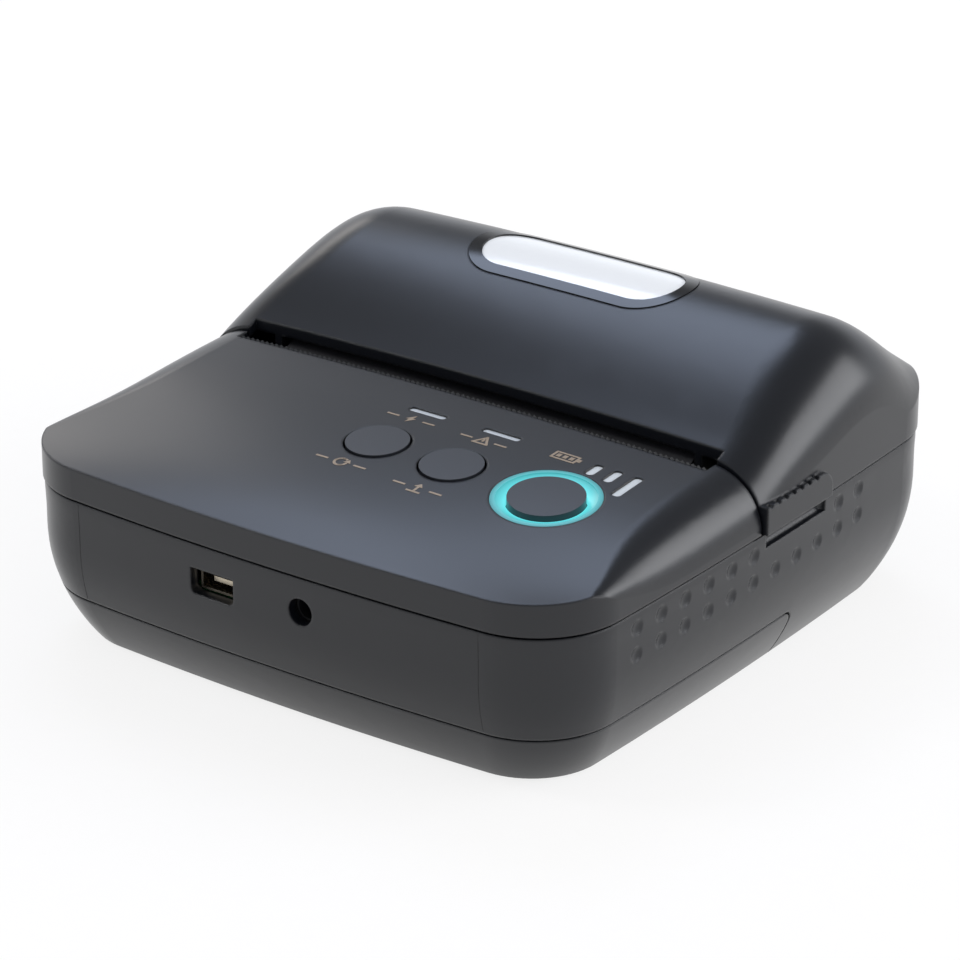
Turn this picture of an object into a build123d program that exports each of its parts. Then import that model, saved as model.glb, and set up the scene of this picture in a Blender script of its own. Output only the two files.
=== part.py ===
from build123d import *
from functools import lru_cache
from math import acos, atan2, cos, pi, radians, sin, sqrt, tan
import os

# A portable receipt printer with a hinged paper cover, in millimetres.
# X points to the right of the printer, Y to its back and Z up.
# Heights are measured from the underside of the casing, which its feet hold just off the table.

# Casing outline
BODY_WIDTH = 110.0
BODY_DEPTH = 114.0
SIDE_BOW_RADIUS = 1021.0
END_BOW_RADIUS = 615.0
CORNER_RADIUS = 15.3

# Lower casing: the side is straight below the upper seam, then curves in to the underside
SEAM_Z = 26.9
BODY_STEP = 0.37
BELLY_START = 8.3
BELLY_RADIUS = 32.0
CORNER_SHRINK = 0.46
WALL = 2.0
FLOOR = 2.0
SEAM_GAP = 0.5
FINE_GAP = 0.15
BELLY_STEPS = 6

# Battery door: the underside and lower front of the casing
DOOR_TOP_Z = 9.1
DOOR_BACK_Y = 9.4
DOOR_CORNER = 2.5
DOOR_SEAM = 0.3
DECK_THICKNESS = 1.65
RAIL_Y = (-38.0, 6.0)
RAIL_X = 42.0
RAIL_THICKNESS = 1.4
RAIL_HOOK = 2.2
RAIL_Z = 5.0
RAIL_GAP = 0.4

# Upper casing: (y, height, side radius, crown drop) across the front panel and the paper cover
PANEL_PROFILE = [
    (-59.0, 31.85, 0.8, 0.1),
    (-51.0, 33.7, 1.0, 1.3),
    (-43.0, 35.0, 2.6, 1.9),
    (-35.0, 35.9, 6.0, 1.7),
    (-27.0, 36.6, 8.2, 1.4),
    (-19.0, 37.1, 9.0, 1.2),
    (-11.0, 37.4, 9.3, 1.05),
    (-3.0, 37.62, 9.5, 1.0),
    (5.0, 37.7, 9.6, 1.0),
]
COVER_PROFILE = [
    (-9.0, 34.8, 9.2, 1.0),
    (-1.0, 39.2, 9.9, 1.0),
    (7.0, 43.2, 11.6, 1.05),
    (15.0, 46.8, 13.4, 1.1),
    (23.0, 49.35, 14.0, 1.2),
    (31.0, 49.85, 14.0, 1.2),
    (39.0, 46.8, 13.7, 1.2),
    (47.0, 40.9, 12.6, 1.2),
    (55.0, 34.6, 8.8, 1.1),
    (63.0, 28.7, 3.6, 1.0),
]
FORM_OVERSHOOT = 0.05
LEAST_TURN = 0.5
SHELL_SEAM_Y = -3.3
LIP_THICKNESS = 1.0
LIP_HEIGHT = 1.6
LIP_ROOT = 3.2
LIP_CLEARANCE = 0.3

# Paper exit between the front panel and the paper cover
SLOT_HALF_WIDTH = 46.3
SLOT_FRONT_Y = -5.5
SLOT_BACK_Y = -1.2
TEAR_BAR_THICKNESS = 0.7
TEAR_BAR_DEPTH = 3.2
TOOTH_PITCH = 1.0
TOOTH_HEIGHT = 0.4
TOOTH_STAND = 0.1
TEAR_BAR_END_GAP = 0.2

# Finger ledge on the cover and the scoop under it
LEDGE_Y = (-3.1, 16.0)
LEDGE_STAND = 0.9
LEDGE_TOP_Z = 31.8
LEDGE_CORNER = 3.0
LEDGE_NOTCH_PITCH = 2.2
LEDGE_NOTCH_RADIUS = 0.45
LEDGE_EDGE = 0.3
SCOOP_Y = (-1.6, 15.8)
SCOOP_HEIGHT = 2.5
SCOOP_DEPTH = 1.1
SCOOP_CORNER = 0.88

# Anti-slip dimples in both sides
DIMPLE_COLUMNS = 11
DIMPLE_PITCH = 6.24
DIMPLE_FIRST_Y = -36.1
DIMPLE_ROWS = (3.0, 7.4)
DIMPLE_RADIUS = 1.4
DIMPLE_DEPTH = 0.4

# Paper and the platen roller that feeds it
PAPER_WIDTH = 79.5
ROLL_RADIUS = 18.5
CORE_OUTER = 8.0
CORE_WALL = 1.2
ROLL_Y = 28.0
ROLL_SEAT_GAP = 0.3
PLATEN_Y = 2.0
PLATEN_Z = 30.3
PLATEN_RADIUS = 5.2
PLATEN_SIDE = 0.4
SHAFT_RADIUS = 2.0
RUNNING_FIT = 0.05
SEAT_FIT = 0.02
BUSH_RADIUS = 3.0

# Paper bay: a trough for the roll with a lip that guides the paper under the platen
BAY_RADIUS = 20.5
BAY_Z = 27.0
BAY_WALL = 1.5
BAY_SIDE_GAP = 0.55
BAY_SIDE_WALL = 1.4
BAY_TOP_Z = 34.0
TROUGH_GAP = 1.1
TROUGH_WALL = 1.2
TROUGH_FRONT_Y = -2.9
BAY_FEET_Y = (20.0, 34.0)
BAY_FOOT_WIDTH = 2.0
BAY_FOOT_HALF = 27.8

# Cover arms that carry the platen
ARM_THICKNESS = 1.4
ARM_GAP = 0.3
ARM_RIM = 1.2
ARM_BAY_GAP = 1.0

# Printing mechanism frame
FRAME_PLATE = 1.2
FRAME_GAP = 0.4
FRAME_BASE_Z = 13.0
FRAME_BACK_Y = 9.0
FRAME_FRONT_Y = -20.4
FRAME_STEP_Y = -10.2
FRAME_STEP_Z = 28.6
FRAME_TOP_Z = 33.2
FRAME_WALL_Y = -11.0
FRAME_WALL_TOP_Z = 29.5
MOTOR_SIDE_GAP = 1.5
NOTCH_CLEARANCE = 0.12
NOTCH_FLARE = 1.4

# Thermal head on its pivot
HEAD_GAP = 0.2
HEAD_THICKNESS = 1.0
HEAD_BOTTOM_Z = 26.4
HEAD_TOP_Z = 32.8
SINK_THICKNESS = 1.8
SINK_BOTTOM_Z = 15.2
HEAD_PIVOT_Z = 17.2
HEAD_SHAFT_RADIUS = 1.2
HEAD_HUB_RADIUS = 2.3
HEAD_HUB_LENGTH = 5.0
SINK_CUT_Z = 19.1
SPRING_X = (-30.0, -8.0, 14.0)
SPRING_Z = 21.4
SPRING_RADIUS = 1.7
SPRING_WIRE = 0.5
SPRING_TURNS = 4
SPRING_END_GAP = 0.25

# Gear train: involute spur gears
GEAR_MODULE = 0.5
PRESSURE_ANGLE = radians(25.0)
GEAR_ADDENDUM = 0.8
GEAR_DEDENDUM = 1.1
GEAR_BACKLASH = 0.1
PLATEN_TEETH = 22
SMALL_TEETH = 14
BIG_TEETH = 40
PINION_TEETH = 12
GEAR_WIDTH = 2.0
BIG_GEAR_WIDTH = 1.6
GEAR_PLATE_GAP = 1.0
GEAR_PLANE_GAP = 0.6
REDUCTION_ANGLE = radians(-104.64)
PINION_ANGLE = radians(-178.0)
GEAR_PIN_RADIUS = 1.2
GEAR_PIN_HEAD_RADIUS = 2.16
MOTOR_RADIUS = 6.25
MOTOR_LENGTH = 19.0
MOTOR_SHAFT_DEPTH = 3.0
MOTOR_SHAFT_RADIUS = 0.75
MOTOR_BOSS_RADIUS = 2.5
MOTOR_BOSS_CLEARANCE = 0.1

# Hinge at the back seam
HINGE_Y = 57.4
HINGE_Z = SEAM_Z
HINGE_X = (18.0, 37.0)
HINGE_SPLIT_X = 30.2
HINGE_GAP = 0.2
KNUCKLE_RADIUS = 2.6
KNUCKLE_RELIEF = 0.4
KNUCKLE_WEB_REACH = 6.76
KNUCKLE_ROOT = 1.5
HINGE_PIN_RADIUS = 1.0

# Cover window
WINDOW_Y = 27.0
WINDOW_LENGTH = 42.4
WINDOW_RADIUS = 8.5
WINDOW_RIM = 2.2
WINDOW_FIT = 0.05
WINDOW_FLANGE = 1.5
WINDOW_FLANGE_DEPTH = 1.0

# Keys: centre x, centre y
MODE_KEY = (-1.5, -26.7)
FEED_KEY = (13.1, -27.0)
POWER_KEY = (31.3, -27.4)
KEY_RADIUS = 5.1
KEY_CLEARANCE = 0.35
KEY_STAND = 0.25
KEY_FLANGE = 1.2
KEY_FLANGE_THICKNESS = 0.8
KEY_TRAVEL = 0.5
KEY_STEM_RADIUS = 2.0
POWER_KEY_RADIUS = 6.1
RING_OUTER = 8.7
RING_INNER = 6.35
RING_FLANGE = 0.6
RING_RIM = 0.25
RING_DEPTH = 0.8
RING_CUT_RISE = 2.0

# Indicator slits and battery level bars: centre x, centre y, length along x, length along y
CHARGE_SLIT = (-0.9, -14.3, 7.0, 1.3)
ERROR_SLIT = (13.4, -14.2, 7.0, 1.3)
LEVEL_BARS = ((32.3, -16.1, 1.5, 3.6), (35.9, -16.3, 1.5, 4.0), (39.6, -17.8, 1.5, 7.0))
GUIDE_FIT = 0.05
GUIDE_ROUNDING = 0.9
GUIDE_RECESS = 0.25

# Key board under the front panel
KEY_BOARD_X = (-12.0, 43.5)
KEY_BOARD_Y = (-38.5, -12.8)
KEY_BOARD_TOP_Z = 31.3
BOARD_THICKNESS = 1.2
SWITCH_SIZE = 4.0
SWITCH_HEIGHT = 0.7
PLUNGER_RADIUS = 1.1
PLUNGER_HEIGHT = 0.3
LED_SIZE = (1.6, 0.8, 0.6)
KEY_BOARD_BOSS_RADIUS = 2.1
KEY_BOARD_SCREWS = ((-9.5, -35.5), (41.0, -36.0), (-9.5, -15.5), (22.0, -16.2))

# Main board with the two inlets at the front
CEILING_Z = 14.8
CEILING_THICKNESS = 1.4
MAIN_BOARD_X = 42.0
MAIN_BOARD_Y = (-53.0, -22.6)
MAIN_BOARD_Z = 16.8
MAIN_BOARD_THICKNESS = 1.6
CHIPS = ((-24.0, -40.0, 10.0, 10.0, 1.4), (22.0, -44.0, 8.0, 6.0, 1.2), (26.0, -31.0, 13.0, 9.0, 2.0))
MAIN_BOARD_SCREWS = ((-39.4, -49.5), (39.4, -49.5), (-39.4, -25.4), (39.4, -25.4))
USB_X = -11.0
USB_Z = 20.4
USB_OPENING = (8.6, 4.4)
USB_CORNER = 1.1
USB_SHELL = (7.7, 3.6, 9.2)
USB_SHEET = 0.4
DC_X = 6.35
DC_Z = 21.0
DC_HOLE_RADIUS = 2.25
DC_BODY = (8.0, 5.2, 11.0)
DC_BORE = 1.9
DC_PIN_RADIUS = 0.65
INLET_GAP = 0.2
INLET_REACH = 6.0

# Battery in its compartment
COMPARTMENT_X = 35.0
COMPARTMENT_Y = (-49.4, -22.6)
COMPARTMENT_WALL = 1.4
PACK_GAP = 0.3
PACK_RADIUS = 2.5
CONTACT_BLOCK = (14.0, 1.6, 6.0)
CONTACT_Z = 8.0
CONTACT_PITCH = 3.0
CONTACT_COUNT = 4

# Feet and screws
FOOT_RADIUS = 4.0
FOOT_STAND = 0.6
FOOT_POCKET = 0.7
FRONT_FEET = (37.0, -40.0)
REAR_FEET = (37.0, 40.0)
POST_RADIUS = 3.0
POST_TOP_Z = 24.0
POST_BORE = 1.5
POST_COUNTERBORE = 2.3
POST_SEAT_Z = 14.0
CASE_SCREWS = ((44.8, -44.8), (47.6, -26.5))
SCREW_RADIUS = 1.2
SCREW_HEAD_RADIUS = 2.1
SCREW_HEAD = 1.4
SCREW_HEAD_ROUNDING = 0.4
SCREW_RECESS_WIDTH = 0.6
CASE_SCREW_LENGTH = 16.0
SMALL_SCREW_RADIUS = 0.9
SMALL_SCREW_HEAD_RADIUS = 1.7
SMALL_SCREW_HEAD = 1.1
SMALL_SCREW_LENGTH = 4.0
FRAME_SCREWS = ((-38.5, -16.5), (18.0, -16.5), (-38.5, 5.0), (38.5, 5.0))

# Sensors
SENSOR_SIZE = (6.0, 3.6, 2.4)
SENSOR_FIT = 0.075
COVER_SWITCH_SIZE = (3.0, 6.5, 5.0)
COVER_SWITCH_Y = 0.5

FAR = 400.0

# Places that follow from the sizes above
HALF_WIDTH = BODY_WIDTH / 2
HALF_DEPTH = BODY_DEPTH / 2
TOP_EDGE_Z = SEAM_Z + SEAM_GAP / 2
HOUSING_TOP_Z = SEAM_Z - SEAM_GAP / 2
DECK_BOTTOM_Z = DOOR_TOP_Z + DOOR_SEAM / 2
DECK_TOP_Z = DECK_BOTTOM_Z + DECK_THICKNESS
DECK_BACK_Y = DOOR_BACK_Y + DOOR_SEAM + WALL
CEILING_TOP_Z = CEILING_Z + CEILING_THICKNESS
KEY_BOARD_BOTTOM_Z = KEY_BOARD_TOP_Z - BOARD_THICKNESS
PAPER_HALF = PAPER_WIDTH / 2
BAY_INNER_X = PAPER_HALF + BAY_SIDE_GAP
BAY_OUTER_X = BAY_INNER_X + BAY_SIDE_WALL
BAY_SHELL_RADIUS = BAY_RADIUS + BAY_WALL
ROLL_Z = BAY_Z - BAY_RADIUS + ROLL_SEAT_GAP + ROLL_RADIUS
PLATEN_HALF = PAPER_HALF + PLATEN_SIDE
TROUGH_HALF = BAY_INNER_X + ARM_GAP
ARM_INNER_X = TROUGH_HALF + ARM_GAP
ARM_OUTER_X = ARM_INNER_X + ARM_THICKNESS
ARM_RADIUS = BUSH_RADIUS + ARM_RIM
FRAME_INNER_X = ARM_OUTER_X + FRAME_GAP
FRAME_OUTER_X = FRAME_INNER_X + FRAME_PLATE
FRAME_FLOOR_Z = FRAME_BASE_Z + FRAME_PLATE
MOTOR_SHAFT_START_X = FRAME_INNER_X - MOTOR_SHAFT_DEPTH
GEAR_X = FRAME_OUTER_X + GEAR_PLATE_GAP
GEAR_END_X = GEAR_X + GEAR_WIDTH
BIG_GEAR_X = GEAR_END_X + GEAR_PLANE_GAP
BIG_GEAR_END_X = BIG_GEAR_X + BIG_GEAR_WIDTH
SHAFT_END_X = GEAR_END_X + GEAR_PLANE_GAP / 2
REDUCTION_REACH = GEAR_MODULE * (PLATEN_TEETH + SMALL_TEETH) / 2
REDUCTION_Y = PLATEN_Y + REDUCTION_REACH * cos(REDUCTION_ANGLE)
REDUCTION_Z = PLATEN_Z + REDUCTION_REACH * sin(REDUCTION_ANGLE)
PINION_REACH = GEAR_MODULE * (BIG_TEETH + PINION_TEETH) / 2
PINION_Y = REDUCTION_Y + PINION_REACH * cos(PINION_ANGLE)
PINION_Z = REDUCTION_Z + PINION_REACH * sin(PINION_ANGLE)
HEAD_FRONT_Y = PLATEN_Y - PLATEN_RADIUS - HEAD_GAP
HEAD_BACK_Y = HEAD_FRONT_Y - HEAD_THICKNESS
SINK_BACK_Y = HEAD_BACK_Y - SINK_THICKNESS
HEAD_PIVOT_Y = HEAD_BACK_Y - SINK_THICKNESS / 2
KEY_BOTTOM_Z = KEY_BOARD_TOP_Z + SWITCH_HEIGHT + PLUNGER_HEIGHT + KEY_TRAVEL + RUNNING_FIT
PACK_BACK_Y = COMPARTMENT_Y[1] - CONTACT_BLOCK[1] - PACK_GAP
MAIN_BOARD_TOP_Z = MAIN_BOARD_Z + MAIN_BOARD_THICKNESS
BARREL_OVERHANG = HINGE_Y + KNUCKLE_RADIUS - HALF_DEPTH


def block(x0, x1, y0, y1, z0, z1):
    """A box between two corners."""
    centre = Location(((x0 + x1) / 2, (y0 + y1) / 2, (z0 + z1) / 2))
    return centre * Box(x1 - x0, y1 - y0, z1 - z0)


def rod_x(y, z, radius, x0, x1):
    """A round bar along X."""
    return Location(((x0 + x1) / 2, y, z), (0, 90, 0)) * Cylinder(radius, x1 - x0)


def rod_y(x, z, radius, y0, y1):
    """A round bar along Y."""
    return Location((x, (y0 + y1) / 2, z), (90, 0, 0)) * Cylinder(radius, y1 - y0)


def rod_z(x, y, radius, z0, z1):
    """A round bar along Z."""
    return Location((x, y, (z0 + z1) / 2)) * Cylinder(radius, z1 - z0)


def side_profile(points, x0, x1):
    """A straight-edged outline in Y and Z, drawn out along X."""
    face = Plane((x0, 0, 0), x_dir=(0, 1, 0), z_dir=(1, 0, 0)) * make_face(Polyline(*points, close=True))
    return extrude(face, x1 - x0)


def mirrored(shape):
    """The same piece on the other side of the printer."""
    return mirror(shape, about=Plane.YZ)


def both_sides(shape):
    return shape + mirrored(shape)


def above(z):
    return block(-FAR, FAR, -FAR, FAR, z, FAR)


def below(z):
    return block(-FAR, FAR, -FAR, FAR, -FAR, z)


def bow(distance, radius):
    """How far a bowed side has come in at a distance from its middle."""
    return radius - sqrt(radius ** 2 - distance ** 2)


def side_x(y, inset=0.0):
    return HALF_WIDTH - inset - bow(y, SIDE_BOW_RADIUS - inset)


def end_y(x, inset=0.0):
    return HALF_DEPTH - inset - bow(x, END_BOW_RADIUS - inset)


def plan_face(inset, corner):
    """The casing's bowed outline seen from above, drawn in by an inset."""
    x, y = HALF_WIDTH, HALF_DEPTH
    for _ in range(8):
        x, y = side_x(y, inset), end_y(x, inset)
    a, b = side_x(0, inset), end_y(0, inset)
    outline = [
        ThreePointArc((x, -y), (a, 0), (x, y)),
        ThreePointArc((x, y), (0, b), (-x, y)),
        ThreePointArc((-x, y), (-a, 0), (-x, -y)),
        ThreePointArc((-x, -y), (0, -b), (x, -y)),
    ]
    face = make_face(outline)
    return fillet(face.vertices(), corner)


def plan_prism(inset, z0, z1):
    """The upper casing's outline as an upright block."""
    return extrude(Location((0, 0, z0)) * plan_face(inset, CORNER_RADIUS - inset), z1 - z0)


def body_inset(z):
    """How far the lower casing has come in at a height."""
    curve = max(0.0, SEAM_Z - z - BELLY_START)
    return BODY_STEP + BELLY_RADIUS - sqrt(BELLY_RADIUS ** 2 - curve ** 2)


@lru_cache(maxsize=None)
def body_form(wall):
    """The lower casing's outside, or its inside at a wall thickness."""
    belly_top = SEAM_Z - BELLY_START
    levels = [belly_top * step / BELLY_STEPS for step in range(BELLY_STEPS + 1)]
    levels += [(belly_top + SEAM_Z) / 2, SEAM_Z]
    sections = []
    for z in levels:
        inset = body_inset(z)
        corner = CORNER_RADIUS - CORNER_SHRINK * (inset - BODY_STEP) - BODY_STEP - wall
        sections.append(Location((0, 0, z)) * plan_face(inset + wall, corner))
    return loft(sections)


def cross_section(y, height, radius, drop, inset):
    """An upright slice of the upper casing: crowned top, rounded sides, flat foot at the seam."""
    half = side_x(min(abs(y), HALF_DEPTH)) - inset + FORM_OVERSHOOT
    top = height - inset
    turn = max(radius - inset, LEAST_TURN)
    crown = (half ** 2 + drop ** 2) / (2 * drop)
    turn_x = half - turn
    turn_z = top - crown + sqrt((crown - turn) ** 2 - turn_x ** 2)
    tilt = atan2(turn_z - (top - crown), turn_x)
    lean = tilt / 2
    meet = (crown * cos(tilt), top - crown + crown * sin(tilt))
    middle = (turn_x + turn * cos(lean), turn_z + turn * sin(lean))
    foot = SEAM_Z - LIP_ROOT
    right = [(half, foot), (half, turn_z), middle, meet]
    spot = [Vector(x, y, z) for x, z in right]
    twin = [Vector(-x, y, z) for x, z in right]
    edges = [
        Line(twin[0], spot[0]),
        Line(spot[0], spot[1]),
        ThreePointArc(spot[1], spot[2], spot[3]),
        ThreePointArc(spot[3], Vector(0, y, top), twin[3]),
        ThreePointArc(twin[3], twin[2], twin[1]),
        Line(twin[1], twin[0]),
    ]
    return Face(Wire(edges))


def upper_form(profile, inset):
    """The upper casing's outside over one profile, or its inside at an inset."""
    slices = loft([cross_section(y, height, radius, drop, inset) for y, height, radius, drop in profile])
    return slices & plan_prism(inset, SEAM_Z - LIP_ROOT, FAR)


@lru_cache(maxsize=None)
def panel_form(inset):
    return upper_form(PANEL_PROFILE, inset)


@lru_cache(maxsize=None)
def cover_form(inset):
    return upper_form(COVER_PROFILE, inset)


def panel_layer(column, outer, inner):
    """The part of an upright column that lies between two insets of the front panel."""
    return (column & panel_form(outer)) - panel_form(inner)


def cover_layer(column, outer, inner):
    return (column & cover_form(outer)) - cover_form(inner)


def door_space(gap):
    """The space of the battery door in the lower casing, with its rounded back corner."""
    back = DOOR_BACK_Y + gap
    top = DOOR_TOP_Z + gap
    profile = Plane.YZ * make_face(Polyline((-FAR, -FAR), (back, -FAR), (back, top), (-FAR, top), close=True))
    rounded = fillet(profile.vertices().sort_by(Axis.Y)[-2:].sort_by(Axis.Z)[-1], DOOR_CORNER)
    return extrude(rounded, FAR, both=True)


def dimples():
    """Round hollows along both sides of the lower casing."""
    ball = (DIMPLE_RADIUS ** 2 + DIMPLE_DEPTH ** 2) / (2 * DIMPLE_DEPTH)
    hollows = []
    for row, depth in enumerate(DIMPLE_ROWS):
        for column in range(DIMPLE_COLUMNS):
            y = DIMPLE_FIRST_Y + column * DIMPLE_PITCH
            under_scoop = SCOOP_Y[0] - DIMPLE_RADIUS < y < SCOOP_Y[1] + DIMPLE_RADIUS
            if row == 0 and under_scoop:
                continue
            x = side_x(y, BODY_STEP) + ball - DIMPLE_DEPTH
            hollows += [Location((side * x, y, SEAM_Z - depth)) * Sphere(ball) for side in (-1, 1)]
    return hollows


def finger_scoops():
    """Hollows under the cover's finger ledges."""
    wall_x = side_x(SCOOP_Y[1], BODY_STEP)
    shape = block(wall_x - SCOOP_DEPTH, wall_x + WALL, *SCOOP_Y, HOUSING_TOP_Z - SCOOP_HEIGHT, FAR)
    inner = shape.faces().sort_by(Axis.X)[0].edges()
    return both_sides(fillet(inner, SCOOP_CORNER))


def knuckle(x0, x1, rises):
    """A hinge barrel with the web that joins it to its shell."""
    web_y = HINGE_Y + KNUCKLE_RADIUS * cos(pi / 4)
    root_y = end_y(x1, KNUCKLE_ROOT)
    way = 1 if rises else -1
    corners = [
        (root_y, HINGE_Z + way * SEAM_GAP),
        (HINGE_Y, HINGE_Z + way * SEAM_GAP),
        (web_y, HINGE_Z + way * KNUCKLE_RADIUS * sin(pi / 4)),
        (root_y, HINGE_Z + way * KNUCKLE_WEB_REACH),
    ]
    return rod_x(HINGE_Y, HINGE_Z, KNUCKLE_RADIUS, x0, x1) + side_profile(corners, x0, x1)


def knuckle_relief(x0, x1):
    return rod_x(HINGE_Y, HINGE_Z, KNUCKLE_RADIUS + KNUCKLE_RELIEF, x0 - HINGE_GAP, x1 + HINGE_GAP)


def hinge_bore(radius):
    return rod_x(HINGE_Y, HINGE_Z, radius, HINGE_X[0] + KNUCKLE_RELIEF, HINGE_X[1] + KNUCKLE_RELIEF)


def case_screw_places():
    """Each case screw's x and y, on both sides."""
    return [(side * x, y) for x, y in CASE_SCREWS for side in (-1, 1)]


def housing_lip():
    """The rim that stands inside the upper shells, and its root in the wall."""
    outer = WALL + LIP_CLEARANCE
    low, high = SEAM_Z - LIP_ROOT, SEAM_Z + LIP_HEIGHT
    solid = plan_prism(WALL, low, HOUSING_TOP_Z) + plan_prism(outer, HOUSING_TOP_Z, high)
    return solid - plan_prism(outer + LIP_THICKNESS, low, high)


def battery_compartment():
    """The box that holds the battery pack, closed above."""
    x = COMPARTMENT_X + COMPARTMENT_WALL
    y0 = COMPARTMENT_Y[0] - COMPARTMENT_WALL
    y1 = COMPARTMENT_Y[1] + COMPARTMENT_WALL
    return block(-x, x, y0, y1, DECK_BOTTOM_Z, CEILING_TOP_Z)


def door_hangers():
    """Ledges under the deck that the door's rails hook over."""
    foot_z = RAIL_Z + RAIL_THICKNESS
    web = block(RAIL_X, RAIL_X + RAIL_THICKNESS, *RAIL_Y, RAIL_Z, DECK_BOTTOM_Z)
    foot = block(RAIL_X, RAIL_X + RAIL_THICKNESS + RAIL_HOOK, *RAIL_Y, RAIL_Z, foot_z)
    return both_sides(web + foot)


def base_housing():
    """The lower casing between the two seams, with its deck, floor, compartment and posts."""
    inside = body_form(WALL)
    shell = (body_form(0) & below(HOUSING_TOP_Z)) - (inside & above(DECK_TOP_Z))
    shell -= inside & block(-FAR, FAR, DECK_BACK_Y, FAR, FLOOR, FAR)
    shell -= door_space(DOOR_SEAM / 2)
    shell += [housing_lip(), battery_compartment() & body_form(WALL / 2), door_hangers()]
    shell -= block(-COMPARTMENT_X, COMPARTMENT_X, *COMPARTMENT_Y, -FAR, CEILING_Z)
    shell += housing_posts()
    barrel = knuckle(HINGE_SPLIT_X + HINGE_GAP / 2, HINGE_X[1], rises=False)
    shell -= both_sides(knuckle_relief(HINGE_X[0], HINGE_SPLIT_X - HINGE_GAP / 2))
    shell += both_sides(barrel)
    pockets = [rod_z(side * REAR_FEET[0], REAR_FEET[1], FOOT_RADIUS + GUIDE_FIT, -FAR, FOOT_POCKET)
               for side in (-1, 1)]
    hollows = [inlet_openings(), finger_scoops(), both_sides(hinge_bore(HINGE_PIN_RADIUS + SEAT_FIT))]
    return shell - (housing_bores() + pockets + hollows + dimples())


def housing_posts():
    """Posts on the deck for the front cover, the main board and the mechanism."""
    posts = [rod_z(x, y, POST_RADIUS, DECK_BOTTOM_Z, POST_TOP_Z) for x, y in case_screw_places()]
    posts += [rod_z(x, y, SMALL_SCREW_HEAD_RADIUS + RAIL_GAP, DECK_BOTTOM_Z, MAIN_BOARD_Z)
              for x, y in MAIN_BOARD_SCREWS]
    return posts + [rod_z(x, y, POST_RADIUS, DECK_BOTTOM_Z, FRAME_BASE_Z) for x, y in FRAME_SCREWS]


def housing_bores():
    """Screw holes in the posts, from below for the front cover and from above for the rest."""
    small = SMALL_SCREW_RADIUS + SEAT_FIT
    bores = [rod_z(x, y, small, DECK_TOP_Z, MAIN_BOARD_Z) for x, y in MAIN_BOARD_SCREWS]
    bores += [rod_z(x, y, small, FRAME_BASE_Z - SMALL_SCREW_LENGTH, FRAME_BASE_Z) for x, y in FRAME_SCREWS]
    for x, y in case_screw_places():
        bores += [rod_z(x, y, POST_BORE, 0, FAR), rod_z(x, y, POST_COUNTERBORE, 0, POST_SEAT_Z)]
    return bores


def inlet_openings():
    """The holes in the front wall for the two inlets."""
    front = -end_y(USB_X)
    usb = Location((USB_X, front, USB_Z)) * Box(USB_OPENING[0], INLET_REACH, USB_OPENING[1])
    usb = fillet(usb.edges().filter_by(Axis.Y).sort_by(Axis.Z)[:2], USB_CORNER)
    return usb + rod_y(DC_X, DC_Z, DC_HOLE_RADIUS, -end_y(DC_X) - INLET_REACH, -end_y(DC_X) + INLET_REACH)


def battery_door():
    """The tray under the printer that closes the battery compartment and slides off forwards."""
    skin = body_form(0) - (body_form(WALL) & above(FLOOR))
    door = skin & door_space(-DOOR_SEAM / 2)
    web_x = RAIL_X + RAIL_THICKNESS + RAIL_HOOK + RAIL_GAP
    hook_z = RAIL_Z + RAIL_THICKNESS + RAIL_GAP
    hook_x = RAIL_X + RAIL_THICKNESS + RAIL_GAP
    web = block(web_x, web_x + RAIL_THICKNESS, *RAIL_Y, FLOOR / 2, hook_z + RAIL_THICKNESS)
    hook = block(hook_x, web_x + RAIL_THICKNESS, *RAIL_Y, hook_z, hook_z + RAIL_THICKNESS)
    door += both_sides(web + hook)
    for side in (-1, 1):
        door -= rod_z(side * FRONT_FEET[0], FRONT_FEET[1], FOOT_RADIUS + GUIDE_FIT, -FAR, FOOT_POCKET)
    return door


def foot_pair(place):
    """Two round rubber feet pressed into their pockets."""
    foot = rod_z(place[0], place[1], FOOT_RADIUS, -FOOT_STAND, FOOT_POCKET)
    rim = foot.faces().sort_by(Axis.Z)[0].edges()
    return both_sides(fillet(rim, FOOT_STAND / 2))


def front_cover():
    """The upper shell over the boards, with its key holes, bosses and slits."""
    room = block(-FAR, FAR, -FAR, SHELL_SEAM_Y - SEAM_GAP / 2, TOP_EDGE_Z, FAR)
    shell = panel_layer(room, 0, WALL)
    bosses = [rod_z(x, y, POST_RADIUS, POST_TOP_Z, FAR) for x, y in case_screw_places()]
    bosses += [rod_z(x, y, KEY_BOARD_BOSS_RADIUS, KEY_BOARD_TOP_Z, FAR) for x, y in KEY_BOARD_SCREWS]
    shell += [boss & panel_form(WALL / 2) for boss in bosses]
    slot_edge = SLOT_FRONT_Y - TEAR_BAR_THICKNESS
    cuts = [block(-SLOT_HALF_WIDTH, SLOT_HALF_WIDTH, slot_edge, FAR, -FAR, FAR)]
    cuts += [rod_z(x, y, SCREW_RADIUS + SEAT_FIT, 0, POST_SEAT_Z + CASE_SCREW_LENGTH)
             for x, y in case_screw_places()]
    cuts += [rod_z(x, y, SMALL_SCREW_RADIUS + SEAT_FIT, 0, key_screw_top()) for x, y in KEY_BOARD_SCREWS]
    cuts += [rod_z(x, y, KEY_RADIUS + KEY_CLEARANCE, 0, FAR) for x, y in (MODE_KEY, FEED_KEY)]
    cuts += [rod_z(*POWER_KEY, RING_OUTER + GUIDE_FIT, 0, FAR)]
    cuts += [light_guides([CHARGE_SLIT, ERROR_SLIT], GUIDE_FIT), light_guides(LEVEL_BARS, GUIDE_FIT)]
    return shell - cuts


def key_screw_top():
    return KEY_BOARD_BOTTOM_Z + SMALL_SCREW_LENGTH


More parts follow.
